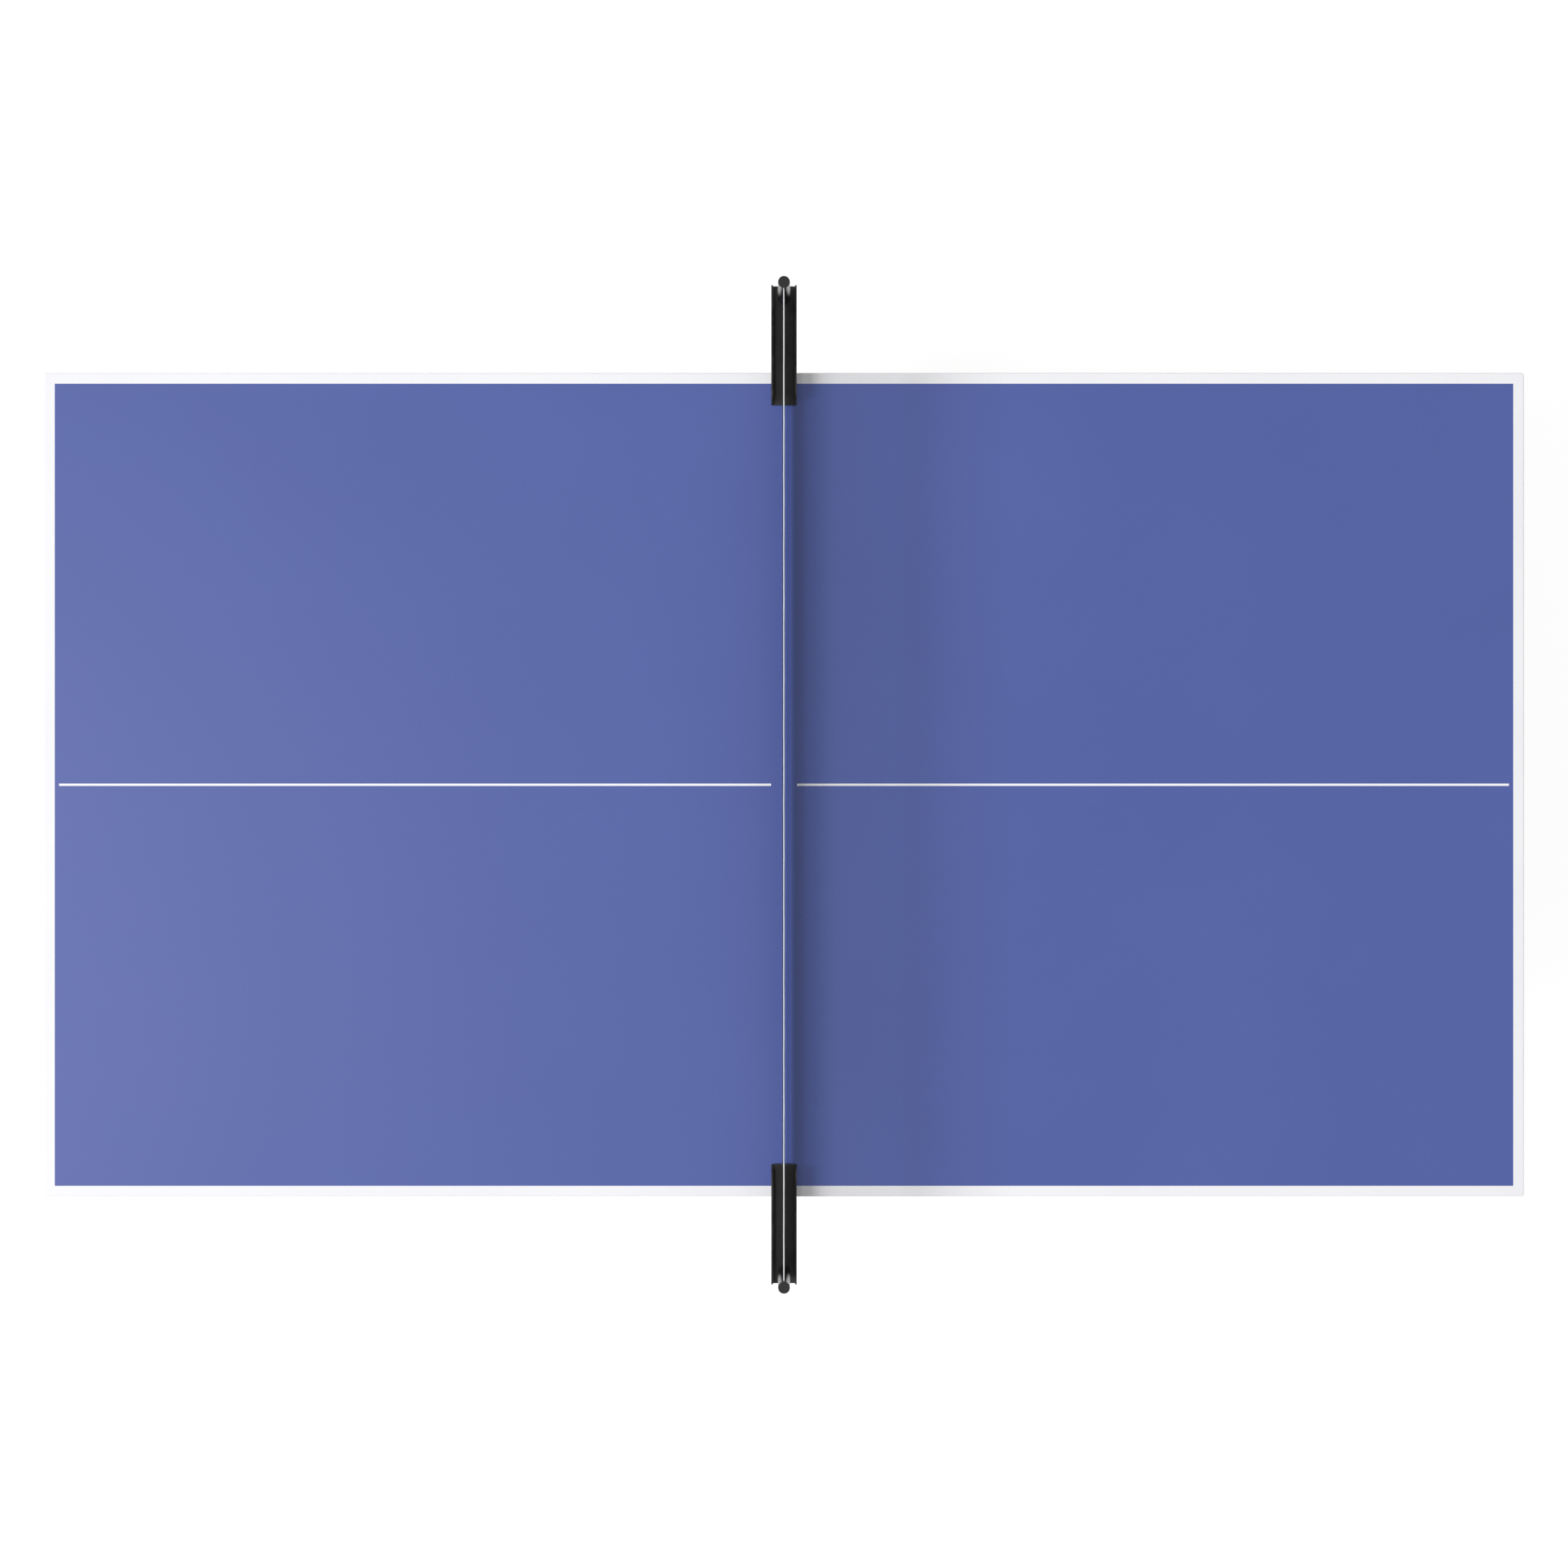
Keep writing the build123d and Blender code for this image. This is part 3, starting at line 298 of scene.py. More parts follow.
def seam_paths(name, paths):
    """Mesh of bare edges, one chain for each path; a path that ends where it starts is closed."""
    shape = bmesh.new()
    for path in paths:
        closed = (Vector(path[0]) - Vector(path[-1])).length < SAME_POINT
        corners = [shape.verts.new(point) for point in (path[:-1] if closed else path)]
        for first, second in zip(corners, corners[1:]):
            shape.edges.new((first, second))
        if closed:
            shape.edges.new((corners[-1], corners[0]))
    return plain_mesh(name, shape)


row_inputs = {"Length": "Float", "Width": "Float", "Step": "Float", "Seed": "Int", "Finish": "Material"}
row_tree, given, result = begin_tree("seam_row", row_inputs)
chain = put(row_tree, "GeometryNodeMeshToCurve", {"Mesh": given["Geometry"]})
spaced = put(
    row_tree, "GeometryNodeResampleCurve",
    {"Curve": chain.outputs["Curve"], "Length": given["Step"]}, mode="LENGTH",
)
scale = put(row_tree, "GeometryNodeMeshIcoSphere", {"Radius": UNIT_RADIUS, "Subdivisions": 1})
tangent = put(row_tree, "GeometryNodeInputTangent").outputs["Tangent"]
along = put(row_tree, "FunctionNodeAlignRotationToVector", {"Vector": tangent}, axis="X")
uneven = put(
    row_tree, "FunctionNodeRandomValue",
    {2: UNEVEN_SPAN[0], 3: UNEVEN_SPAN[1], "Seed": given["Seed"]}, data_type="FLOAT",
)
width = maths(row_tree, "MULTIPLY", uneven.outputs[1], given["Width"])
size = put(row_tree, "ShaderNodeCombineXYZ", {"X": given["Length"], "Y": width, "Z": width})
scales = put(
    row_tree, "GeometryNodeInstanceOnPoints",
    {
        "Points": spaced.outputs["Curve"], "Instance": scale.outputs["Mesh"],
        "Rotation": along.outputs["Rotation"], "Scale": size.outputs["Vector"],
    },
)
end_tree(row_tree, scales.outputs["Instances"], given["Finish"], result)


def square_seam(x, y, z, size, across):
    """Closed seam round a square tube, in the plane that the tube runs square to."""
    corners = [(-1, -1), (1, -1), (1, 1), (-1, 1), (-1, -1)]
    if across == "Y":
        return [(x + u * size / 2, y, z + v * size / 2) for u, v in corners]
    return [(x + u * size / 2, y + v * size / 2, z) for u, v in corners]


def round_seam(x, y, z, radius):
    """Closed seam round the foot of an upright round tube."""
    turns = [2 * math.pi * k / SEAM_POINTS for k in range(SEAM_POINTS + 1)]
    return [(x + radius * math.cos(a), y + radius * math.sin(a), z) for a in turns]


def bar_seam(x, inner_y, outer_y, z, size):
    """Seam round three sides of a cross tube that lies against the face of an upright or a leg."""
    return [
        (x, outer_y, z + size / 2), (x, inner_y, z + size / 2),
        (x, inner_y, z - size / 2), (x, outer_y, z - size / 2),
    ]


def centre_and_size(low, high):
    """Middle and size of a box from its two corners."""
    return (low + high) / 2, high - low


def weld(name, paths, body, seed):
    """Weld bead along the paths, under the powder coat."""
    bead = {
        "Length": WELD_SCALE, "Width": WELD_WIDTH, "Step": WELD_STEP, "Seed": seed, "Finish": powder_coat,
    }
    piece = grown(name, seam_paths(name, paths), row_tree, bead)
    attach(piece, body)


base_low, base_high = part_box("trolley_base_rail_back")
base_middle, base_size = centre_and_size(base_low, base_high)
tubes_low, tubes_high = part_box("trolley_base_tubes")
tube_size = tubes_high.z - tubes_low.z
end_tube_x = tubes_high.x - tube_size / 2
upright_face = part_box("trolley_uprights")[1].x
upright_size = base_size.y
upper_middle, upper_size = centre_and_size(*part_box("trolley_upper_tubes"))
trolley_seams = []
for sy in SIDES.values():
    inner_y = sy * base_low.y
    outer_y = sy * base_high.y
    for tube_x in (-end_tube_x, 0, end_tube_x):
        trolley_seams.append(square_seam(tube_x, inner_y, base_middle.z, tube_size, "Y"))
    trolley_seams.append(round_seam(0, sy * base_middle.y, base_high.z, ARM_RADIUS))
    for sx in ENDS.values():
        upright_x = sx * (upright_face - upright_size / 2)
        trolley_seams.append(square_seam(upright_x, sy * base_middle.y, base_high.z, upright_size, "Z"))
        trolley_seams.append(bar_seam(sx * upright_face, inner_y, outer_y, upper_middle.z, upper_size.z))
weld("trolley_weld_seams", trolley_seams, "trolley", seed=3)

for end, sx in ENDS.items():
    bars_low, bars_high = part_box(f"{end}_leg_crossbars")
    bar_size = bars_high.x - bars_low.x
    leg_face = min(abs(bars_low.x), abs(bars_high.x))
    leg_seams = [
        bar_seam(sx * leg_face, sy * base_low.y, sy * base_high.y, bar_z, bar_size)
        for sy in SIDES.values()
        for bar_z in (bars_low.z + bar_size / 2, bars_high.z - bar_size / 2)
    ]
    weld(f"{end}_leg_weld_seams", leg_seams, f"{end}_leg_frame", seed=5)

    rails_low, rails_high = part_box(f"{end}_side_rails")
    rail_inner = rails_high.y - RAIL_WIDTH
    rail_ends = sorted((abs(rails_low.x), abs(rails_high.x)))
    brace_faces = (sx * BRACE_X - RAIL_WIDTH / 2, sx * BRACE_X + RAIL_WIDTH / 2)
    rail_seams = []
    for sy in SIDES.values():
        rail_seams.append([
            (brace_faces[0], sy * rail_inner, rails_high.z),
            (brace_faces[0], sy * rail_inner, rails_low.z),
            (brace_faces[1], sy * rail_inner, rails_low.z),
            (brace_faces[1], sy * rail_inner, rails_high.z),
        ])
        for corner_x, inward in zip(rail_ends, (1, -1)):
            inner_x = corner_x + inward * RAIL_WIDTH
            rail_seams.append([
                (sx * (corner_x + inward * WELD_WIDTH), sy * (rails_high.y - WELD_WIDTH), rails_low.z),
                (sx * inner_x, sy * rail_inner, rails_low.z),
                (sx * inner_x, sy * rail_inner, rails_high.z),
            ])
    weld(f"{end}_frame_weld_seams", rail_seams, f"{end}_half", seed=7)

# Castors
# Pressed steel forks on kingpins, bright zinc plated and slightly cloudy. Grey moulded hubs carry soft
# black tyres with round shoulders and two running grooves; the grey foot brakes have moulded ridges.
TYRE_SEGMENTS = 72
TYRE_SHOULDER = 6.0 * MM
TYRE_DEPTH = 14.4 * MM
SHOULDER_STEPS = 6
GROOVE_WIDTH = 1.8 * MM
GROOVE_FLOOR = 1.2 * MM
GROOVE_DEPTH = 1.4 * MM
GROOVE_OFFSET = 5.0 * MM
RIDGE_COUNT = 5
RIDGE_STEP = 6.0 * MM
RIDGE_WIDTH = 2.2 * MM
RIDGE_LENGTH = 30 * MM
RIDGE_SIDES = 8
RIDGE_RINGS = 6
CAST_HEIGHT = 50 * MM
SHARP_EDGE = math.radians(32)

zinc = finish(
    "zinc_plate", srgb(168, 171, 174), srgb(206, 208, 210), grain=420, blotch=26, relief=0.02 * MM,
    rough=(0.26, 0.46), dust=0.10, plain={"Metallic": 1.0},
)
hub_plastic = finish(
    "grey_hub_plastic", srgb(96, 98, 101), srgb(118, 120, 123), grain=1500, blotch=30, relief=0.06 * MM,
    rough=(0.44, 0.58), wear=(srgb(150, 151, 153), 0.8 * MM, 0.4), dust=0.2,
)
tyre_rubber = finish(
    "tyre_rubber", srgb(26, 26, 27), srgb(44, 44, 45), grain=1300, blotch=40, relief=0.1 * MM,
    rough=(0.72, 0.9), wear=(srgb(78, 77, 76), 2 * MM, 0.5), dust=0.25,
)


def turned_piece(name, outline, centre, axis, segments, materials):
    """Piece turned about an axis from an outline of (radius, distance along the axis, material number)."""
    shape = bmesh.new()
    rings = []
    for k in range(segments):
        angle = 2 * math.pi * k / segments
        ring = []
        for radius, offset, _ in outline:
            u, v = radius * math.cos(angle), radius * math.sin(angle)
            spot = (u, offset, v) if axis == "Y" else (u, v, offset)
            ring.append(shape.verts.new(centre + Vector(spot)))
        rings.append(ring)
    for k, ring in enumerate(rings):
        following = rings[(k + 1) % segments]
        for j in range(len(outline)):
            after = (j + 1) % len(outline)
            if outline[j][0] == 0 and outline[after][0] == 0:
                continue
            face = shape.faces.new((ring[j], ring[after], following[after], following[j]))
            face.material_index = outline[j][2]
            face.smooth = True
    bmesh.ops.remove_doubles(shape, verts=shape.verts, dist=SAME_POINT)
    bmesh.ops.recalc_face_normals(shape, faces=shape.faces)
    mesh = plain_mesh(name, shape, materials)
    mesh.set_sharp_from_angle(angle=SHARP_EDGE)
    return shown(name, mesh)


def arc(radius, centre, start, end, steps):
    """Points of an arc in the outline's plane, angles in degrees from the outward direction."""
    turns = [math.radians(start + (end - start) * k / steps) for k in range(steps + 1)]
    return [(centre[0] + radius * math.cos(a), centre[1] + radius * math.sin(a), 0) for a in turns]


def tyre_outline(radius, half):
    """Section of a tyre: seat on the rim, round shoulders and two grooves round the tread."""
    seat = radius - TYRE_DEPTH
    bend = (radius - TYRE_SHOULDER, half - TYRE_SHOULDER)
    outline = [(seat, -half, 0)]
    outline += arc(TYRE_SHOULDER, (bend[0], -bend[1]), -90, 0, SHOULDER_STEPS)
    for middle in (-GROOVE_OFFSET, GROOVE_OFFSET):
        outline += [
            (radius, middle - GROOVE_WIDTH / 2, 0),
            (radius - GROOVE_DEPTH, middle - GROOVE_FLOOR / 2, 0),
            (radius - GROOVE_DEPTH, middle + GROOVE_FLOOR / 2, 0),
            (radius, middle + GROOVE_WIDTH / 2, 0),
        ]
    outline += arc(TYRE_SHOULDER, bend, 0, 90, SHOULDER_STEPS)
    return outline + [(seat, half, 0)]


fixing_tree, given, result = begin_tree("fixings", {"Fixing": "Object", "Finish": "Material"})
shape_of = put(fixing_tree, "GeometryNodeObjectInfo", {"Object": given["Fixing"], "As Instance": True})
spread = put(
    fixing_tree, "GeometryNodeInstanceOnPoints",
    {"Points": given["Geometry"], "Instance": shape_of.outputs["Geometry"]},
)
end_tree(fixing_tree, spread.outputs["Instances"], given["Finish"], result)


def fixings(name, points, fixing, material):
    """One mesh with a copy of the fixing at every point."""
    seed = bpy.data.meshes.new(name)
    seed.from_pydata(points, [], [])
    return grown(name, seed, fixing_tree, {"Fixing": fixing, "Finish": material})


def ridge_bar(length, width):
    """Round bar along Y with rounded ends; its lower half is sunk in the pedal."""
    shape = bmesh.new()
    bmesh.ops.create_uvsphere(shape, u_segments=RIDGE_SIDES, v_segments=RIDGE_RINGS, radius=width / 2)
    for corner in shape.verts:
        if abs(corner.co.y) > SAME_POINT:
            corner.co.y += math.copysign((length - width) / 2, corner.co.y)
    return shown("ridge_bar", plain_mesh("ridge_bar", shape))


dress(zinc, "castor_kingpins")
ridge = ridge_bar(RIDGE_LENGTH, RIDGE_WIDTH)
for end, sx in ENDS.items():
    for side in SIDES:
        corner = f"{end}_{side}"
        dress(zinc, f"castor_fork_{corner}")
        dress(hub_plastic, f"wheel_hub_{corner}")
        middle, size = centre_and_size(*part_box(f"tyre_{corner}"))
        section = tyre_outline(size.z / 2, size.y / 2)
        tread = turned_piece(f"grooved_tyre_{corner}", section, middle, "Y", TYRE_SEGMENTS, [tyre_rubber])
        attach(tread, f"wheel_{corner}")
        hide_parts(f"tyre_{corner}")
    pedal = f"brake_pedal_{end}_front"
    dress(hub_plastic, pedal)
    low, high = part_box(pedal)
    tip_x = low.x if sx > 0 else high.x
    spots = []
    for k in range(RIDGE_COUNT):
        ridge_x = tip_x + sx * (RIDGE_STEP + k * RIDGE_STEP)
        above = Vector((ridge_x, (low.y + high.y) / 2, high.z + CAST_HEIGHT))
        _, spot, _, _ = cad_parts[pedal].ray_cast(above, Vector((0, 0, -1)))
        spots.append(spot)
    ridges = fixings(f"pedal_ridges_{end}", spots, ridge, hub_plastic)
    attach(ridges, f"brake_{end}_front")
bpy.data.objects.remove(ridge)

# Plugs, bushes and post caps
# Small black mouldings of polythene and nylon with a coarse spark grain from the tool. Plugs close the
# tube ends, flanged bushes carry the pivots, caps close the net posts.
moulded_black = finish(
    "moulded_black_plastic", srgb(10, 10, 11), srgb(38, 38, 39), grain=620, blotch=45, relief=0.16 * MM,
    rough=(0.46, 0.66), wear=(srgb(96, 96, 97), 0.7 * MM, 0.35), dust=0.06,
    plain={"Specular IOR Level": 0.3},
)
dress(moulded_black, "trolley_end_plugs", "net_post_caps")
for end in ENDS:
    dress(moulded_black, f"{end}_leg_plugs", f"{end}_pivot_bushes")

# Fold hinges
# Zinc plated bolts and shoulder pins turn in the bushes and in the link rods. Black rubber buttons on
# the uprights stop the folded halves.
soft_rubber = finish(
    "pad_rubber", srgb(28, 28, 28), srgb(46, 46, 46), grain=900, blotch=60, relief=0.08 * MM,
    rough=(0.7, 0.88), dust=0.2,
)
dress(zinc, "fold_pivot_bolts", "left_leg_pivots", "right_leg_pivots")
dress(soft_rubber, "fold_stop_bumpers")

# Levelling feet
# A round black foot with a stepped edge, moulded on a zinc plated stud with a 1.5 mm thread that screws
# into the insert in the end of the leg. The stud's core is thinner by the depth of the thread.
FOOT_TREAD = 8 * MM
FOOT_CONE = 9 * MM
FOOT_NECK = 9 * MM
FOOT_NECK_RADIUS = 10 * MM
FOOT_ROUND = 2 * MM
FOOT_ROUND_STEPS = 4
FOOT_SEGMENTS = 40
NECK_TOP = FOOT_TREAD + FOOT_CONE + FOOT_NECK
THREAD_PITCH = 1.5 * MM
THREAD_DEPTH = 0.75 * MM
THREAD_SUNK = 0.15 * THREAD_DEPTH
THREAD_FLANK = 0.85 * THREAD_DEPTH
THREAD_POINTS = 16
THREAD_SIDES = 3
STUD_CORE = 5 * MM - THREAD_DEPTH

thread_inputs = {"Turns": "Float", "Core": "Float", "Depth": "Float", "Height": "Float", "Foot": "Vector"}
thread_tree, given, result = begin_tree("screw_thread", {**thread_inputs, "Finish": "Material"})
helix = put(
    thread_tree, "GeometryNodeCurveSpiral",
    {
        "Resolution": THREAD_POINTS, "Rotations": given["Turns"], "Start Radius": given["Core"],
        "End Radius": given["Core"], "Height": given["Height"],
    },
)
flank = put(
    thread_tree, "GeometryNodeCurvePrimitiveCircle",
    {"Resolution": THREAD_SIDES, "Radius": given["Depth"]}, mode="RADIUS",
)
ridge_line = put(
    thread_tree, "GeometryNodeCurveToMesh",
    {"Curve": helix.outputs["Curve"], "Profile Curve": flank.outputs["Curve"], "Fill Caps": True},
)
raised = put(
    thread_tree, "GeometryNodeTransform",
    {"Geometry": ridge_line.outputs["Mesh"], "Translation": given["Foot"]},
)
plated = put(
    thread_tree, "GeometryNodeSetMaterial",
    {"Geometry": raised.outputs["Geometry"], "Material": given["Finish"]},
)
whole = put(thread_tree, "GeometryNodeJoinGeometry")
thread_tree.links.new(given["Geometry"], whole.inputs["Geometry"])
thread_tree.links.new(plated.outputs["Geometry"], whole.inputs["Geometry"])
real = put(thread_tree, "GeometryNodeRealizeInstances", {"Geometry": whole.outputs["Geometry"]})
thread_tree.links.new(real.outputs["Geometry"], result["Geometry"])


def foot_outline(radius, height):
    """Section of a foot from the middle of its tread to the end of its stud; 1 marks the plated stud."""
    return [
        (0, 0, 0),
        *arc(FOOT_ROUND, (radius - FOOT_ROUND, FOOT_ROUND), -90, 0, FOOT_ROUND_STEPS),
        (radius, FOOT_TREAD - FOOT_ROUND, 0),
        (radius - FOOT_ROUND / 2, FOOT_TREAD - FOOT_ROUND / 2, 0),
        (radius - FOOT_ROUND / 2, FOOT_TREAD, 0),
        (FOOT_NECK_RADIUS + FOOT_ROUND, FOOT_TREAD + FOOT_CONE - FOOT_ROUND, 0),
        (FOOT_NECK_RADIUS, FOOT_TREAD + FOOT_CONE, 0),
        (FOOT_NECK_RADIUS, NECK_TOP - FOOT_ROUND / 2, 0),
        (FOOT_NECK_RADIUS - FOOT_ROUND / 2, NECK_TOP, 0),
        (STUD_CORE, NECK_TOP, 1),
        (STUD_CORE, height - THREAD_DEPTH, 1),
        (STUD_CORE - THREAD_DEPTH, height, 1),
        (0, height, 1),
    ]


for end in ENDS:
    for side in SIDES:
        corner = f"{end}_{side}"
        low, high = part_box(f"levelling_foot_{corner}")
        middle, size = centre_and_size(low, high)
        base = Vector((middle.x, middle.y, low.z))
        section = foot_outline(size.x / 2, size.z)
        blank = turned_piece(f"blank_{corner}", section, base, "Z", FOOT_SEGMENTS, [moulded_black, zinc])
        thread_height = size.z - NECK_TOP - 2 * THREAD_PITCH
        foot = grown(
            f"screw_foot_{corner}", blank.data, thread_tree,
            {
                "Turns": thread_height / THREAD_PITCH, "Core": STUD_CORE + THREAD_SUNK,
                "Depth": THREAD_FLANK, "Height": thread_height,
                "Foot": base + Vector((0, 0, NECK_TOP + THREAD_PITCH)), "Finish": zinc,
            },
        )
        bpy.data.objects.remove(blank)
        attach(foot, f"foot_{corner}")
        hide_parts(f"levelling_foot_{corner}")

# Board screws
# Zinc plated pan-head screws with washers hold the rails to the board from below, six along each side
# rail and four across each cross rail.
LEAST_SCREW_STEP = 190 * MM
SCREW_END = 70 * MM
SCREW_HEAD = 4.6 * MM
SCREW_CROWN = 0.8 * SCREW_HEAD
SCREW_RISE = 2.6 * MM
SCREW_SIDE = 0.45 * SCREW_RISE
SCREW_SHOULDER = 0.85 * SCREW_RISE
SCREW_SEGMENTS = 12
WASHER_RADIUS = 7 * MM
WASHER_THICKNESS = 1 * MM
RECESS_RADIUS = 1.9 * MM
RECESS_FLOOR_RADIUS = 0.8 * RECESS_RADIUS
RECESS_FLOOR = 0.3 * SCREW_RISE
SCREWS_ACROSS = (-0.48, -0.16, 0.16, 0.48)

screw_outline = [
    (0, 0, 0),
    (WASHER_RADIUS, 0, 0),
    (WASHER_RADIUS, -WASHER_THICKNESS, 0),
    (SCREW_HEAD, -WASHER_THICKNESS, 0),
    (SCREW_HEAD, -WASHER_THICKNESS - SCREW_SIDE, 0),
    (SCREW_CROWN, -WASHER_THICKNESS - SCREW_SHOULDER, 0),
    (RECESS_RADIUS, -WASHER_THICKNESS - SCREW_RISE, 0),
    (RECESS_FLOOR_RADIUS, -WASHER_THICKNESS - RECESS_FLOOR, 0),
    (0, -WASHER_THICKNESS - RECESS_FLOOR, 0),
]
screw = turned_piece("pan_head_screw", screw_outline, Vector((0, 0, 0)), "Z", SCREW_SEGMENTS, [zinc])
for end, sx in ENDS.items():
    low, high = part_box(f"{end}_side_rails")
    inner_x, outer_x = sorted((abs(low.x), abs(high.x)))
    rail_y = high.y - RAIL_WIDTH / 2
    screwed = outer_x - inner_x - 2 * SCREW_END
    count = int(screwed / LEAST_SCREW_STEP)
    run = screwed / count
    spots = []
    for k in range(count + 1):
        for sy in SIDES.values():
            spots.append((sx * (inner_x + SCREW_END + k * run), sy * rail_y, low.z))
    for rail_x in (inner_x + RAIL_WIDTH / 2, BRACE_X, outer_x - RAIL_WIDTH / 2):
        spots += [(sx * rail_x, y, low.z) for y in SCREWS_ACROSS]
    screws = fixings(f"{end}_board_screws", spots, screw, zinc)
    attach(screws, f"{end}_half")
bpy.data.objects.remove(screw)

# Board halves
# Two 19 mm fibreboards, filled and rolled with blue paint on the playing face. Their outer edges and
# arrises are white, the edges that meet under the net stay blue, and the back is sealed fibreboard.
MEETING_EDGE = 3.6 * MM
LEVEL_FACE = 0.9985
UNDER_FACE = -0.7
BLUE_LOW = srgb(67, 84, 153)
BLUE_HIGH = srgb(73, 90, 159)
BLUE_ROUGH = (0.42, 0.48)
BLUE_RELIEF = 0.06 * MM
EDGE_WHITE = srgb(228, 230, 232)
BACK_LOW = srgb(92, 74, 56)
BACK_HIGH = srgb(128, 106, 82)
SCUFF_COLOUR = srgb(196, 194, 188)

board_paint, tree, surface = begin_material("blue_board_paint", {"Specular IOR Level": 0.6})
coords = put(tree, "ShaderNodeTexCoord").outputs
facing = put(tree, "ShaderNodeSeparateXYZ", {0: coords["Normal"]}).outputs["Z"]
along = put(tree, "ShaderNodeSeparateXYZ", {0: coords["Object"]}).outputs["X"]
rolled = effect(tree, grain_effect, Grain=420.0, Blotch=2.2)
fibres = effect(tree, grain_effect, Grain=700.0, Blotch=60.0)
scuffed = effect(tree, wear_effect, Reach=1.2 * MM, Patches=90.0, Amount=0.35)
upper = maths(tree, "GREATER_THAN", facing, LEVEL_FACE)
under = maths(tree, "LESS_THAN", facing, UNDER_FACE)
meeting = maths(tree, "LESS_THAN", maths(tree, "ABSOLUTE", along), MEETING_EDGE)
blue = mixed(tree, rolled["Tone"], BLUE_LOW, BLUE_HIGH)
faced = mixed(tree, maths(tree, "MAXIMUM", upper, meeting), EDGE_WHITE, blue)
faced = mixed(tree, under, faced, mixed(tree, fibres["Tone"], BACK_LOW, BACK_HIGH))
faced = mixed(tree, scuffed["Mask"], faced, SCUFF_COLOUR)
tree.links.new(faced, surface["Base Color"])
tree.links.new(within(tree, rolled["Tone"], BLUE_ROUGH), surface["Roughness"])
emboss(tree, surface, rolled["Height"], BLUE_RELIEF)
dress(board_paint, "left_top", "right_top")

# Painted lines
# White lines are masked and sprayed on the blue: 20 mm along the outer edges and a 4.3 mm centre line
# that stops just short of the end line and of the net. The film stands 0.06 mm above the board.
EDGE_LINE = 20 * MM
CENTRE_LINE = 4.3 * MM
CENTRE_START = 24 * MM
CENTRE_END = 28 * MM
ARRIS = 1.5 * MM
CORNER = 5 * MM
CORNER_STEPS = 5
FILM = 0.06 * MM
FILM_ROOT = 0.3 * MM

line_paint = finish(
    "white_line_paint", srgb(240, 240, 244), srgb(247, 247, 250), grain=420, blotch=3, relief=0.04 * MM,
    rough=(0.48, 0.60), plain={"Specular IOR Level": 0.15},
)


def painted_film(name, outlines, surface):
    """Thin film of paint with its root just under the surface, from outlines in X and Y."""
    shape = bmesh.new()
    for outline in outlines:
        lower = shape.faces.new([shape.verts.new((x, y, surface - FILM_ROOT)) for x, y in outline])
        raised = bmesh.ops.extrude_face_region(shape, geom=[lower])["geom"]
        for corner in raised:
            if isinstance(corner, bmesh.types.BMVert):
                corner.co.z = surface + FILM
    bmesh.ops.recalc_face_normals(shape, faces=shape.faces)
    return shown(name, plain_mesh(name, shape, [line_paint]))


for end, sx in ENDS.items():
    low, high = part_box(f"{end}_top")
    inner_x, outer_x = sorted((abs(low.x), abs(high.x)))
    half_width = high.y - ARRIS
    near, far = inner_x + ARRIS, outer_x - ARRIS
    bend = CORNER - ARRIS
    line = EDGE_LINE - ARRIS
    bend_x, bend_y = far - bend, half_width - bend
    corner_turns = [math.radians(90 * k / CORNER_STEPS) for k in range(CORNER_STEPS + 1)]
    rounded = [(bend_x + bend * math.cos(a), bend_y + bend * math.sin(a)) for a in corner_turns]
    outer = [(near, -half_width)] + [(x, -y) for x, y in reversed(rounded)] + rounded + [(near, half_width)]
    inner = [
        (near, half_width - line), (far - line, half_width - line),
        (far - line, line - half_width), (near, line - half_width),
    ]
    border = [(sx * x, y) for x, y in outer + inner]
    centre_ends = (sx * CENTRE_START, sx * (outer_x - CENTRE_END))
    centre = [
        (centre_ends[0], -CENTRE_LINE / 2), (centre_ends[1], -CENTRE_LINE / 2),
        (centre_ends[1], CENTRE_LINE / 2), (centre_ends[0], CENTRE_LINE / 2),
    ]
    lines = painted_film(f"{end}_painted_lines", [border, centre], high.z)
    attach(lines, f"{end}_half")

# Net brackets and posts
# Folded steel channels lie over the table's edges on rubber pads, coated black, with lighter lips that are
# partly rubbed bright and partly a painted highlight for the light that rounded lips would catch. A slotted
# steel tube stands in each, drawn to a slight taper and stoved with smooth black.
# The lips' lighter colour is partly wear and partly painted highlight, in place of light on rounded edges.
bracket_coat_worn_and_highlit = black_coat("bracket_coat_worn_and_painted_highlight", (srgb(112, 112, 114), 2.2 * MM, 0.85))
post_enamel = finish(
    "smooth_post_enamel", srgb(13, 13, 14), srgb(22, 22, 24), grain=900, blotch=18, relief=0.02 * MM,
    rough=(0.2, 0.28), wear=(srgb(84, 84, 86), 0.8 * MM, 0.4),
)
dress(soft_rubber, "net_bracket_pads")
for side in SIDES:
    dress(bracket_coat_worn_and_highlit, f"net_bracket_{side}")
    dress(post_enamel, f"net_post_{side}")

# Net
# Knotless black cord netting of 7.5 mm squares, sewn into a woven binding along its foot and both ends.
# The binding goes through the slot of each post to the zinc plated stiffening rod behind it.
NET_PITCH = 7.5 * MM
NET_CORD = 2.4 * MM
NET_CORD_SIDES = 5
NET_WANDER = 0.7 * MM
WANDER_SCALE = 34.0
WANDER_DETAIL = 2.0
NET_HEM = 11 * MM
HEM_THICKNESS = 1.98 * MM
HEM_STEPS = 220
HEM_SEAM_RISE = 7.7 * MM
END_BAND = 27.8 * MM
BAND_THICKNESS = 1.76 * MM
BAND_STEPS = 10
BAND_SEAM_IN = 7.2 * MM
BAND_SEAM_SHARE = 0.9
TAPE_HEIGHT = 15 * MM
STITCH = 2.4 * MM
STITCH_STEP = 3.4 * MM
THREAD = 0.55 * MM
FUZZ_SCALE = 220.0
FUZZ_DETAIL = 5.0
SLOW_WAVE = 41.0
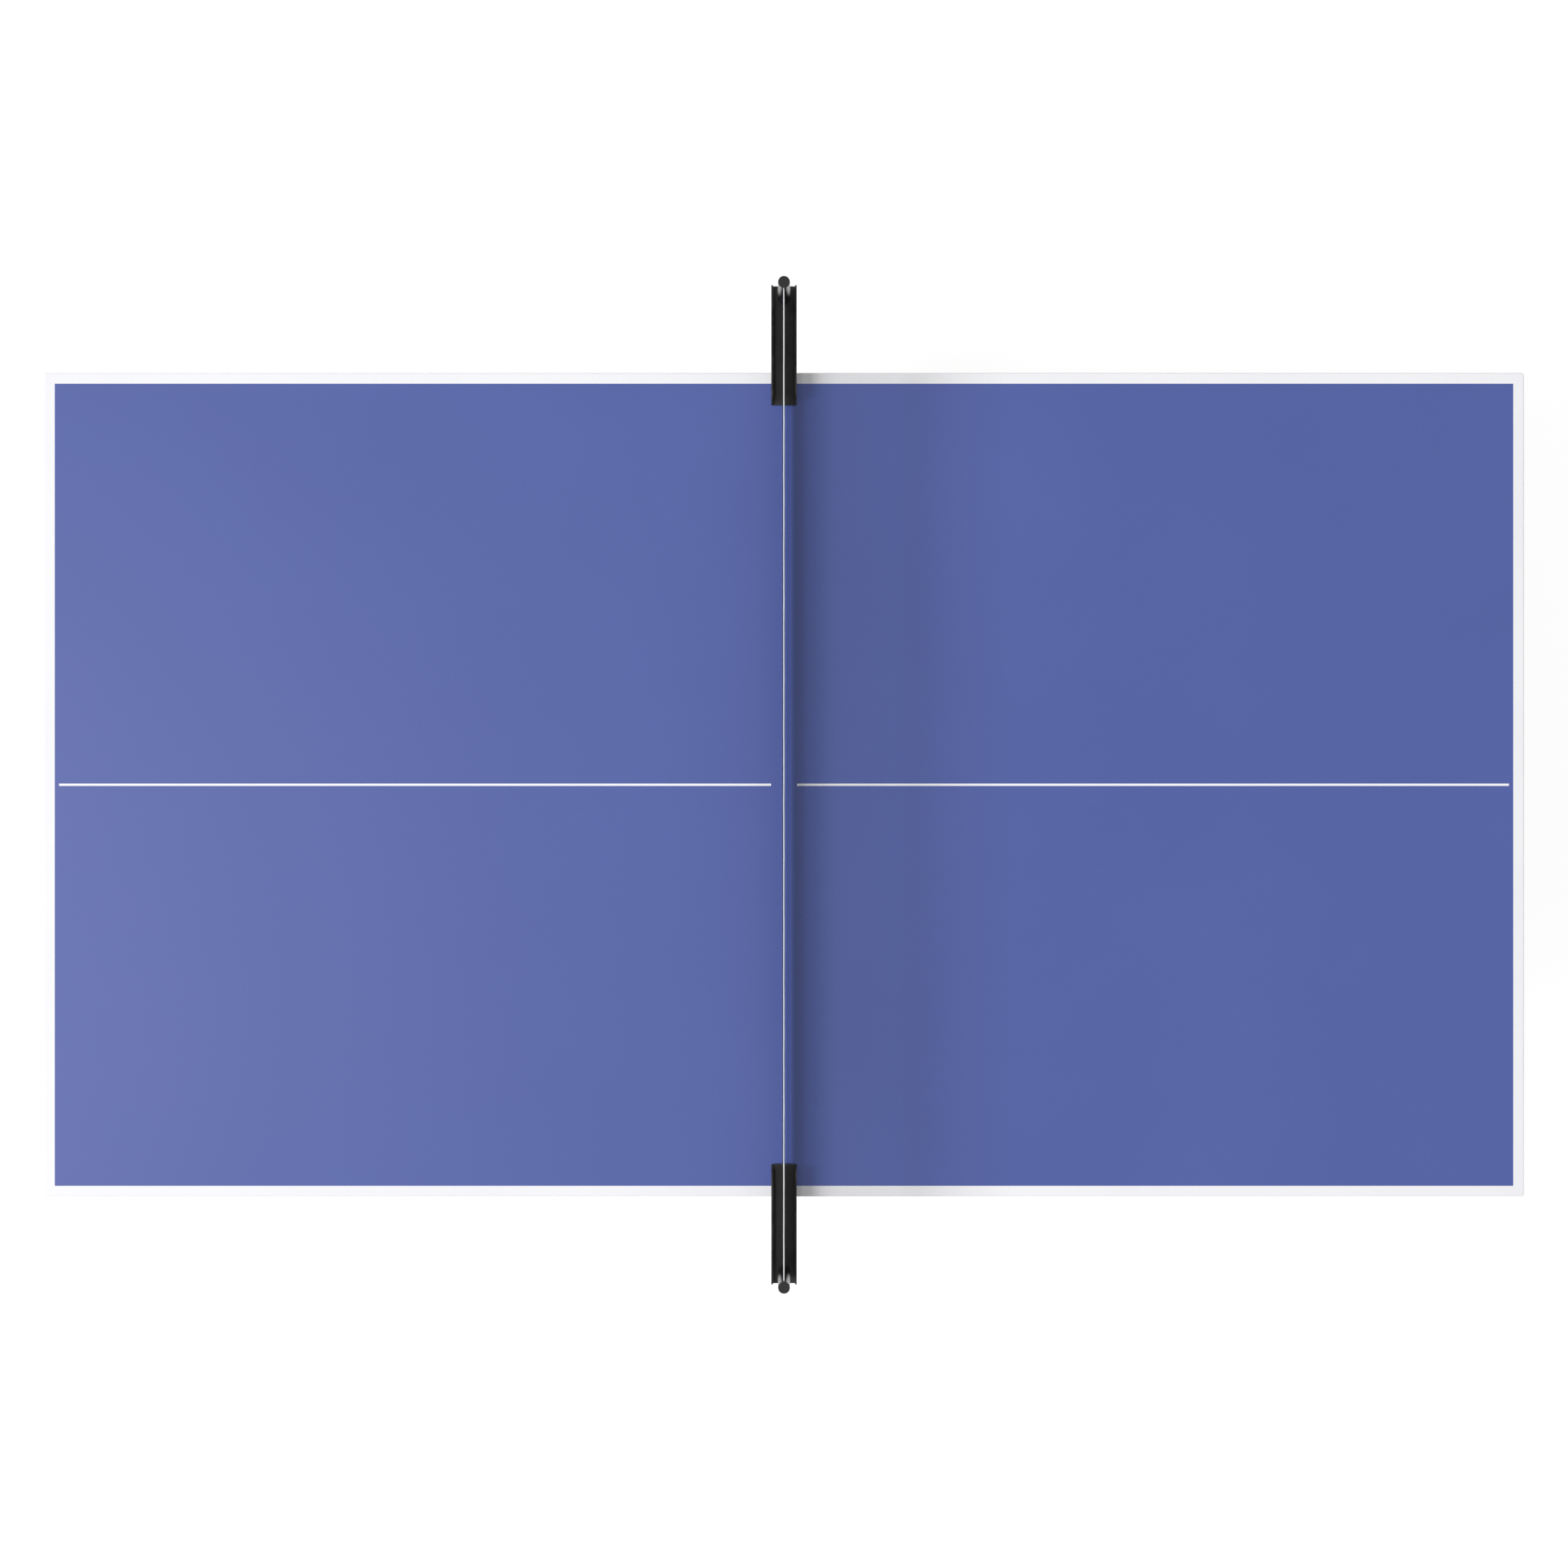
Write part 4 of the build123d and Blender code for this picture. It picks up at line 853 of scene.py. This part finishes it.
QUICK_WAVE = 97.0
QUICK_SHARE = 0.6
QUICK_START = 1.3
CLOTH_EDGE = math.radians(50)

weave_effect, given, result = begin_effect("plain_weave", {"Threads": 1500.0}, ("Tone", "Height"))
flat = put(weave_effect, "ShaderNodeUVMap").outputs["UV"]
counted = put(weave_effect, "ShaderNodeVectorMath", {0: flat, "Scale": given["Threads"]}, operation="SCALE")
axes = put(weave_effect, "ShaderNodeSeparateXYZ", {0: counted.outputs["Vector"]}).outputs
warp = maths(weave_effect, "SINE", axes["X"])
weft = maths(weave_effect, "SINE", axes["Y"])
height = share_of(weave_effect, maths(weave_effect, "MULTIPLY", warp, weft), (-1.0, 1.0))
fuzz = noise(weave_effect, flat, FUZZ_SCALE, FUZZ_DETAIL)["Fac"]
weave_effect.links.new(height, result["Height"])
weave_effect.links.new(maths(weave_effect, "MULTIPLY", height, fuzz), result["Tone"])


def cloth(name, low, high, threads, relief):
    """Woven cloth whose threads follow the piece's own UV map, in metres."""
    plain = {"Specular IOR Level": 0.2, "Sheen Weight": 0.15, "Roughness": 0.9}
    material, tree, surface = begin_material(name, plain)
    woven = effect(tree, weave_effect, Threads=threads)
    tree.links.new(mixed(tree, woven["Tone"], low, high), surface["Base Color"])
    emboss(tree, surface, woven["Height"], relief)
    return material


net_yarn = finish(
    "black_net_yarn", srgb(20, 20, 22), srgb(38, 38, 41), grain=2600, blotch=80, relief=0.1 * MM,
    rough=(0.7, 0.86), plain={"Sheen Weight": 0.2, "Specular IOR Level": 0.3},
)
binding_cloth = cloth(
    "black_binding_cloth", srgb(18, 18, 20), srgb(44, 44, 47), threads=6000.0, relief=0.12 * MM
)

netting_tree, given, result = begin_tree(
    "netting",
    {
        "Columns": "Int", "Rows": "Int", "Pitch Across": "Float", "Pitch Up": "Float", "Corner": "Vector",
        "Width": "Float", "Height": "Float", "Cord": "Float", "Wander": "Float", "Finish": "Material",
    },
)


def strands(count, step, run, bends):
    """A row of straight cords: count of them, a step apart, each with the given run and bends."""
    row = put(
        netting_tree, "GeometryNodeMeshLine",
        {"Count": count, "Start Location": given["Corner"], "Offset": step}, mode="OFFSET",
    )
    line = put(netting_tree, "GeometryNodeCurvePrimitiveLine", {"End": run}, mode="POINTS")
    bent = put(
        netting_tree, "GeometryNodeResampleCurve",
        {"Curve": line.outputs["Curve"], "Count": bends}, mode="COUNT",
    )
    laid = put(
        netting_tree, "GeometryNodeInstanceOnPoints",
        {"Points": row.outputs["Mesh"], "Instance": bent.outputs["Curve"]},
    )
    real = put(netting_tree, "GeometryNodeRealizeInstances", {"Geometry": laid.outputs["Instances"]})
    return real.outputs["Geometry"]


def directed(axis, label):
    """One of the tree's lengths as a vector along an axis."""
    return put(netting_tree, "ShaderNodeCombineXYZ", {axis: given[label]}).outputs["Vector"]


upright_count = maths(netting_tree, "ADD", given["Columns"], 1.0)
level_count = maths(netting_tree, "ADD", given["Rows"], 1.0)
uprights = strands(upright_count, directed("Y", "Pitch Across"), directed("Z", "Height"), level_count)
levels = strands(level_count, directed("Z", "Pitch Up"), directed("Y", "Width"), upright_count)
cords = put(netting_tree, "GeometryNodeJoinGeometry")
netting_tree.links.new(uprights, cords.inputs["Geometry"])
netting_tree.links.new(levels, cords.inputs["Geometry"])
spot = put(netting_tree, "GeometryNodeInputPosition").outputs["Position"]
stray = noise(netting_tree, spot, WANDER_SCALE, WANDER_DETAIL)["Color"]
centred = put(netting_tree, "ShaderNodeVectorMath", {0: stray, 1: (0.5, 0.5, 0.5)}, operation="SUBTRACT")
drift = put(
    netting_tree, "ShaderNodeVectorMath",
    {0: centred.outputs["Vector"], "Scale": given["Wander"]}, operation="SCALE",
)
drawn = put(
    netting_tree, "GeometryNodeSetPosition",
    {"Geometry": cords.outputs["Geometry"], "Offset": drift.outputs["Vector"]},
)
cord_section = put(
    netting_tree, "GeometryNodeCurvePrimitiveCircle",
    {"Resolution": NET_CORD_SIDES, "Radius": maths(netting_tree, "MULTIPLY", given["Cord"], 0.5)},
    mode="RADIUS",
)
round_cords = put(
    netting_tree, "GeometryNodeCurveToMesh",
    {
        "Curve": drawn.outputs["Geometry"], "Profile Curve": cord_section.outputs["Curve"],
        "Fill Caps": True,
    },
)
end_tree(netting_tree, round_cords.outputs["Mesh"], given["Finish"], result)


def cloth_strip(name, section, start_y, end_y, steps, material, wave=0.0):
    """Closed strip of cloth swept along Y from a section in X and Z, with a UV map in metres."""
    shape = bmesh.new()
    layer = shape.loops.layers.uv.new("UVMap")
    girth = [0.0]
    for first, second in zip(section, section[1:] + section[:1]):
        girth.append(girth[-1] + math.dist(first, second))
    lengths = [start_y + (end_y - start_y) * k / steps for k in range(steps + 1)]
    rings = []
    for y in lengths:
        sway = wave * (math.sin(y * SLOW_WAVE) + QUICK_SHARE * math.sin(y * QUICK_WAVE + QUICK_START))
        rings.append([shape.verts.new((x + sway, y, z)) for x, z in section])
    count = len(section)
    for k in range(steps):
        for j in range(count):
            after = (j + 1) % count
            face = shape.faces.new((rings[k][j], rings[k + 1][j], rings[k + 1][after], rings[k][after]))
            face.smooth = True
            spots = (
                (lengths[k], girth[j]), (lengths[k + 1], girth[j]),
                (lengths[k + 1], girth[j + 1]), (lengths[k], girth[j + 1]),
            )
            for loop, uv in zip(face.loops, spots):
                loop[layer].uv = uv
    for ring in (rings[0], rings[-1]):
        face = shape.faces.new(ring)
        for loop in face.loops:
            loop[layer].uv = (loop.vert.co.x, loop.vert.co.z)
    bmesh.ops.recalc_face_normals(shape, faces=shape.faces)
    mesh = plain_mesh(name, shape, [material])
    mesh.set_sharp_from_angle(angle=CLOTH_EDGE)
    return shown(name, mesh)


def flat_section(thickness, bottom, top):
    """Section of a flat band with softened edges."""
    half, soft = thickness / 2, thickness / 4
    return [
        (-half, bottom + soft), (-half + soft, bottom), (half - soft, bottom), (half, bottom + soft),
        (half, top - soft), (half - soft, top), (-half + soft, top), (-half, top - soft),
    ]


def joined(name, pieces):
    """One object from several plain meshes."""
    with bpy.context.temp_override(active_object=pieces[0], selected_editable_objects=pieces):
        bpy.ops.object.join()
    pieces[0].name = name
    return pieces[0]


def stitches(name, paths, material, seed):
    """Row of stitches along each path."""
    thread = {"Length": STITCH, "Width": THREAD, "Step": STITCH_STEP, "Seed": seed, "Finish": material}
    return grown(name, seam_paths(name, paths), row_tree, thread)


dress(zinc, "net_end_rods")
net_low, net_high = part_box("net_mesh")
tape_low, tape_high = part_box("net_tape")
mesh_half = net_high.y - END_BAND
mesh_bottom = net_low.z + NET_HEM / 2
mesh_height = tape_low.z - NET_CORD / 2 - mesh_bottom
columns = round(2 * mesh_half / NET_PITCH)
rows = round(mesh_height / NET_PITCH)
netting = grown(
    "cord_netting", bpy.data.meshes.new("netting_seed"), netting_tree,
    {
        "Columns": columns, "Rows": rows, "Pitch Across": 2 * mesh_half / columns,
        "Pitch Up": mesh_height / rows, "Corner": Vector((0, -mesh_half, mesh_bottom)),
        "Width": 2 * mesh_half, "Height": mesh_height, "Cord": NET_CORD, "Wander": NET_WANDER,
        "Finish": net_yarn,
    },
)
hem_section = flat_section(HEM_THICKNESS, net_low.z, net_low.z + NET_HEM)
band_section = flat_section(BAND_THICKNESS, net_low.z, tape_low.z + TAPE_HEIGHT / 2)
bands = [cloth_strip("net_binding", hem_section, -mesh_half, mesh_half, HEM_STEPS, binding_cloth)]
for sy in SIDES.values():
    band_start = sy * (mesh_half - NET_CORD)
    band_end = sy * net_high.y
    bands.append(cloth_strip("end_band", band_section, band_start, band_end, BAND_STEPS, binding_cloth))
binding = joined("net_binding", bands)
binding_seams = []
for face in (-1, 1):
    hem_x = face * HEM_THICKNESS / 2
    band_x = hem_x * BAND_SEAM_SHARE
    hem_z = net_low.z + HEM_SEAM_RISE
    binding_seams.append([(hem_x, -mesh_half, hem_z), (hem_x, mesh_half, hem_z)])
    for sy in SIDES.values():
        seam_y = sy * (mesh_half + BAND_SEAM_IN)
        binding_seams.append([(band_x, seam_y, net_low.z + NET_HEM), (band_x, seam_y, tape_low.z)])
binding_thread = stitches("binding_stitches", binding_seams, net_yarn, seed=11)
for piece in (netting, binding, binding_thread):
    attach(piece, "trolley")
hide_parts("net_mesh")

# Net tape
# White cotton tape, 33 mm wide, folded over the tension cord and the head of the net and sewn through
# with two rows of stitches. Its ends go into the slots of the posts.
TAPE_THICKNESS = 2.2 * MM
TAPE_WALL = 0.8 * MM
TAPE_SWAY = 0.12 * MM
TAPE_STEPS = 300
FOLD_STEPS = 8
SEAM_RISES = (2.0 * MM, 4.6 * MM)
SEAM_SUNK = 0.25 * THREAD

tape_cloth = cloth(
    "white_tape_cloth", srgb(205, 208, 212), srgb(240, 241, 243), threads=5200.0, relief=0.15 * MM
)
tape_thread_finish = finish(
    "white_sewing_thread", srgb(222, 224, 226), srgb(244, 244, 244), grain=3000, blotch=200,
    relief=0.05 * MM, rough=(0.6, 0.75), plain={"Sheen Weight": 0.15},
)


def folded_section(low_z, high_z):
    """Section of the tape: up one face, over the fold, down the other and back inside."""
    outer_half = TAPE_THICKNESS / 2
    inner_half = outer_half - TAPE_WALL
    crown = high_z - outer_half
    turns = [math.pi * k / FOLD_STEPS for k in range(FOLD_STEPS + 1)]
    outside = [(outer_half * math.cos(a), crown + outer_half * math.sin(a)) for a in turns]
    inside = [(inner_half * math.cos(a), crown + inner_half * math.sin(a)) for a in reversed(turns)]
    feet = [(-outer_half, low_z), (-inner_half, low_z)]
    return [(outer_half, low_z), *outside, *feet, *inside, (inner_half, low_z)]


fold = folded_section(tape_low.z, tape_high.z)
tape = cloth_strip("folded_net_tape", fold, tape_low.y, tape_high.y, TAPE_STEPS, tape_cloth, TAPE_SWAY)
tape_seams = []
for face in (-1, 1):
    seam_x = face * (TAPE_THICKNESS / 2 - SEAM_SUNK)
    for rise in SEAM_RISES:
        seam_z = tape_low.z + rise
        tape_seams.append([(seam_x, tape_low.y, seam_z), (seam_x, tape_high.y, seam_z)])
tape_thread = stitches("tape_stitches", tape_seams, tape_thread_finish, seed=13)
dress(tape_thread_finish, "net_cord")
for piece in (tape, tape_thread):
    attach(piece, "trolley")
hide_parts("net_tape")

# Stage
# A pale floor that stays white to the eye and keeps a faint shadow, a soft lamp high on the left, a
# second low on the left that no glossy surface mirrors, and an even surround.
FLOOR_HALF = 60.0
FLOOR_GLOW = 0.88
FLOOR_SPAN = (0.92, 0.28)
SURROUND_SPAN = (0.44, 1.0)
LAMPS = {
    "high_lamp": {"place": (-8.8, -1.8, 18.8), "size": 4.8, "power": 880.0, "mirrored": True},
    "low_lamp": {"place": (-35.2, -7.4, 18.2), "size": 9.6, "power": 13900.0, "mirrored": False},
}

floor_corners = [(u * FLOOR_HALF, v * FLOOR_HALF, 0) for u, v in ((-1, -1), (1, -1), (1, 1), (-1, 1))]
floor_mesh = bpy.data.meshes.new("floor")
floor_mesh.from_pydata(floor_corners, [], [(0, 1, 2, 3)])
floor = shown("floor", floor_mesh)


def seen_directly(tree):
    """1 on rays that show a surface to the eye, in a mirror or through glass, 0 on rays that light it."""
    sight = put(tree, "ShaderNodeLightPath").outputs
    mirrored = maths(tree, "MAXIMUM", sight["Is Glossy Ray"], sight["Is Transmission Ray"])
    return maths(tree, "MAXIMUM", sight["Is Camera Ray"], mirrored)


floor_paint = bpy.data.materials.new("white_floor")
floor_paint.use_nodes = True
tree = floor_paint.node_tree
tree.nodes.clear()
sight = seen_directly(tree)
matt = put(tree, "ShaderNodeBsdfDiffuse", {"Color": within(tree, sight, FLOOR_SPAN)})
glow = put(tree, "ShaderNodeEmission", {"Strength": maths(tree, "MULTIPLY", sight, FLOOR_GLOW)})
upper_face = put(tree, "ShaderNodeAddShader", {0: matt.outputs[0], 1: glow.outputs[0]})
clear = put(tree, "ShaderNodeBsdfTransparent")
backfacing = put(tree, "ShaderNodeNewGeometry").outputs["Backfacing"]
seen = put(tree, "ShaderNodeMixShader", {0: backfacing, 1: upper_face.outputs[0], 2: clear.outputs[0]})
put(tree, "ShaderNodeOutputMaterial", {"Surface": seen.outputs[0]})
floor_mesh.materials.append(floor_paint)

world = bpy.data.worlds.new("even_surround")
bpy.context.scene.world = world
world.use_nodes = True
tree = world.node_tree
tree.nodes.clear()
strength = within(tree, seen_directly(tree), SURROUND_SPAN)
sky = put(tree, "ShaderNodeBackground", {"Color": (1, 1, 1, 1), "Strength": strength})
put(tree, "ShaderNodeOutputWorld", {"Surface": sky.outputs[0]})

table_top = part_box("right_top")[1].z
for name, lamp in LAMPS.items():
    light = bpy.data.lights.new(name, "AREA")
    light.shape = "DISK"
    light.size = lamp["size"]
    light.energy = lamp["power"]
    stand = shown(name, light)
    stand.location = lamp["place"]
    aim = Vector((0, 0, table_top)) - Vector(lamp["place"])
    stand.rotation_euler = aim.to_track_quat("-Z", "Y").to_euler()
    stand.visible_camera = False
    stand.visible_glossy = lamp["mirrored"]

# Camera
# Looks straight down from 4.95 m above the board, 1.4 mm behind the middle of the net, with the left
# half of the table on the left.
CAMERA_RISE = 4.95
CAMERA_BACK = 1.4 * MM
LENS = 61.39
camera = bpy.data.cameras.new("overhead_camera")
camera.lens = LENS
camera_stand = shown("overhead_camera", camera)
camera_stand.location = (0, CAMERA_BACK, table_top + CAMERA_RISE)
bpy.context.scene.camera = camera_stand
bpy.context.scene.view_settings.view_transform = "Standard"
